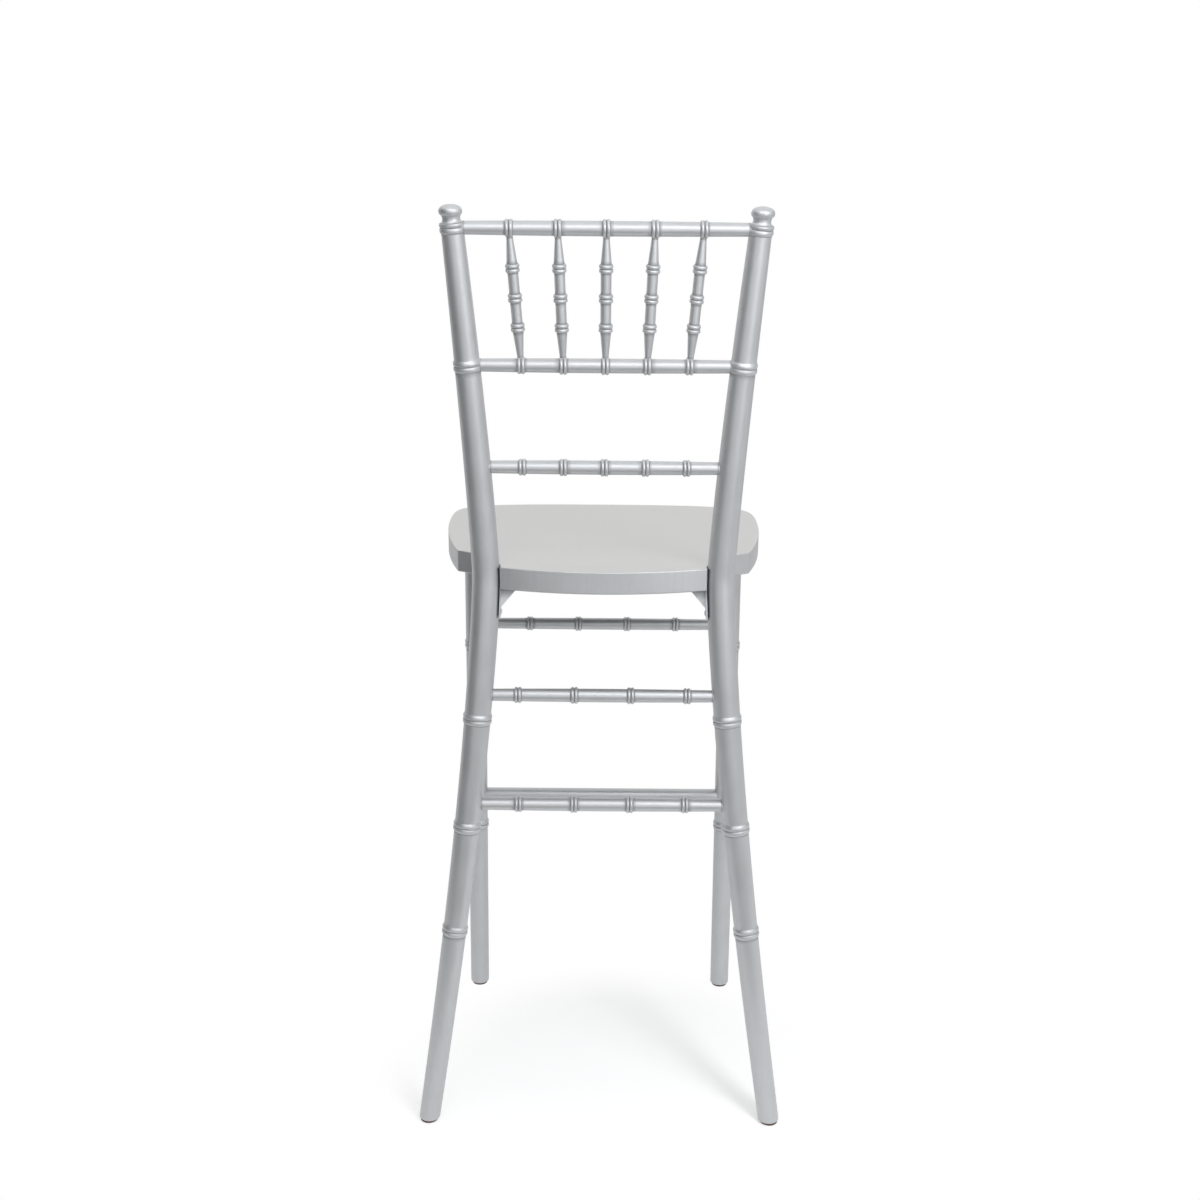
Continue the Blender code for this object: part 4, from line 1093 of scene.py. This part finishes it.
def make_camera():
    """A camera behind the stool and a little above it, as in the photograph."""
    data = bpy.data.cameras.new("camera")
    data.sensor_width = SENSOR_WIDTH
    data.lens = SENSOR_WIDTH * FOCAL_PIXELS / PHOTO_WIDTH
    camera = new_object("camera", data)
    camera.location = CAMERA_PLACE
    aimed = Euler((math.pi / 2 - CAMERA_PITCH, 0, math.pi)).to_matrix()
    rolled = aimed @ Matrix.Rotation(CAMERA_ROLL, 3, "Z")
    camera.rotation_euler = rolled.to_euler()
    bpy.context.scene.camera = camera


# Studio: floor, world, lamps and reflection cards
FLOOR_SIZE = 16.0
FLOOR_COLOUR = 0.90
FLOOR_SEEN_GLOW = 0.36
FLOOR_MIRRORED_GLOW = 0.30
FLOOR_FADE_CENTRE = (-0.03, 0.13, 0.0)
FLOOR_FADE_START = 0.20
FLOOR_FADE_END = 0.36
FLOOR_CARD_LIFT = 0.002
AMBIENT_LOW = 0.18
AMBIENT_HIGH = 0.50
WHITE = (1.0, 1.0, 1.0)
COOL_WHITE = (0.945, 0.974, 1.0)
LIT_POINT = Vector((0, 0, 0.65))


def make_world():
    """A white background with softer ambient light, which comes more from above."""
    world = bpy.data.worlds.new("studio")
    graph = Graph(world)
    direction = graph.add("ShaderNodeSeparateXYZ")
    graph.connect(graph.add("ShaderNodeTexCoord").outputs["Generated"], direction.inputs[0])
    ambient = graph.span(direction.outputs["Z"], AMBIENT_LOW, AMBIENT_HIGH)
    level = graph.span(graph.math("MAXIMUM", *graph.ray_kinds()), ambient, 1.0)
    background = graph.nodes["Background"]
    background.inputs["Color"].default_value = (*WHITE, 1.0)
    graph.connect(level, background.inputs["Strength"])
    bpy.context.scene.world = world


def flat_mesh(name, width, height, material):
    """A level rectangle about its own origin."""
    shape = bmesh.new()
    bmesh.ops.create_grid(shape, x_segments=1, y_segments=1, size=0.5)
    bmesh.ops.scale(shape, verts=shape.verts, vec=(width, height, 1))
    mesh = bpy.data.meshes.new(name)
    shape.to_mesh(mesh)
    shape.free()
    mesh.materials.append(material)
    return mesh


def floor_material():
    """Pale floor that takes the stool's soft shadow and fades into the white background."""
    graph = Graph(bpy.data.materials.new("pale_floor"))
    seen, mirrored = graph.ray_kinds()
    seen_glow = graph.math("MULTIPLY", seen, FLOOR_SEEN_GLOW)
    mirrored_glow = graph.math("MULTIPLY", mirrored, FLOOR_MIRRORED_GLOW)
    matte = graph.add("ShaderNodeBsdfDiffuse")
    matte.inputs["Color"].default_value = (FLOOR_COLOUR, FLOOR_COLOUR, FLOOR_COLOUR, 1.0)
    lit = graph.add("ShaderNodeAddShader")
    graph.connect(matte.outputs[0], lit.inputs[0])
    graph.connect(graph.glow(graph.math("ADD", seen_glow, mirrored_glow)), lit.inputs[1])
    distance = graph.add("ShaderNodeVectorMath", operation="DISTANCE")
    graph.connect(graph.add("ShaderNodeTexCoord").outputs["Object"], distance.inputs[0])
    graph.connect(FLOOR_FADE_CENTRE, distance.inputs[1])
    far = graph.span(
        distance.outputs["Value"],
        low=0.0,
        high=1.0,
        start=FLOOR_FADE_START,
        end=FLOOR_FADE_END,
        interpolation_type="SMOOTHSTEP",
    )
    fading = graph.add("ShaderNodeMixShader")
    graph.connect(graph.math("MULTIPLY", far, seen), fading.inputs[0])
    graph.connect(lit.outputs[0], fading.inputs[1])
    graph.connect(graph.glow(1.0), fading.inputs[2])
    graph.surface(fading.outputs[0])
    return graph.owner


def make_floor():
    """The floor that the stool stands on."""
    floor = new_object("floor", flat_mesh("floor", FLOOR_SIZE, FLOOR_SIZE, floor_material()))
    return floor


def around(bearing, elevation, distance):
    """A place round the stool, by its bearing to the right of the camera and its elevation, in degrees."""
    turn = math.radians(bearing)
    lift = math.radians(elevation)
    flat = distance * math.cos(lift)
    return LIT_POINT + Vector((-math.sin(turn) * flat, math.cos(turn) * flat, distance * math.sin(lift)))


def make_lamp(name, place, width, height, radiance, colour=WHITE):
    """A rectangular soft box that faces the stool, with this brightness as seen in a mirror."""
    data = bpy.data.lights.new(name, "AREA")
    data.shape = "RECTANGLE"
    data.size = width
    data.size_y = height
    data.energy = radiance * math.pi * width * height
    data.color = colour
    lamp = new_object(name, data)
    lamp.location = place
    lamp.rotation_euler = (LIT_POINT - place).to_track_quat("-Z", "Y").to_euler()
    lamp.visible_camera = False
    return lamp


def light_only(lamp, stage_piece):
    """Lets a lamp light one piece of the stage alone; the stool still throws its shadow there."""
    receivers = bpy.data.collections.new(f"{lamp.name}_receivers")
    receivers.objects.link(stage_piece)
    lamp.light_linking.receiver_collection = receivers


def card_material(name, level):
    """An even glow of this level."""
    graph = Graph(bpy.data.materials.new(name))
    graph.surface(graph.glow(level))
    return graph.owner


def make_card(name, place, width, height, level, target=LIT_POINT):
    """A studio card that faces its target and only shows in the stool's reflections."""
    card = new_object(name, flat_mesh(name, width, height, card_material(name, level)))
    card.location = place
    card.rotation_euler = (target - place).to_track_quat("Z", "Y").to_euler()
    card.visible_camera = False
    card.visible_diffuse = False
    card.visible_transmission = False
    card.visible_shadow = False


def make_floor_card(name, start, end, width, level):
    """A card that lies just above the floor, on the camera's side of the stool."""
    place = Vector((0, (start + end) / 2, FLOOR_CARD_LIFT))
    make_card(name, place, width, end - start, level, place + UP)


def make_studio():
    """World, floor, lamps and cards, which light the stool as in the photograph."""
    make_world()
    floor = make_floor()
    make_lamp("top_soft_box", around(0, 41, 1.64), width=1.2, height=0.6, radiance=2.3, colour=COOL_WHITE)
    make_lamp("key_soft_box", around(36, 28, 1.6), width=0.5, height=1.0, radiance=3.6, colour=COOL_WHITE)
    make_lamp("left_soft_box", around(-40, 50, 2.4), width=0.8, height=0.8, radiance=0.8)
    overhead = make_lamp("overhead_soft_box", around(10, 92, 2.1), width=1.1, height=1.1, radiance=1.0)
    overhead.visible_glossy = False
    floor_lamp = make_lamp("floor_lamp", around(29, 34, 2.0), width=0.4, height=0.4, radiance=20.0)
    light_only(floor_lamp, floor)
    make_card("right_card", around(34, 2, 1.5), width=0.6, height=0.8, level=1.4)
    make_card("right_upper_card", around(30, 16, 1.5), width=0.8, height=0.5, level=2.3)
    make_card("left_flag", around(-66, 10, 1.1), width=1.45, height=1.7, level=0.03)
    make_card("rear_left_card", around(-120, 6, 2.6), width=2.0, height=3.0, level=0.75)
    make_card("rear_right_card", around(108, 6, 2.6), width=2.2, height=3.0, level=0.50)
    make_floor_card("dark_floor_card", start=0.60, end=2.1, width=6.0, level=0.15)


make_stool()
make_camera()
make_studio()
bpy.context.scene.view_settings.view_transform = "Standard"
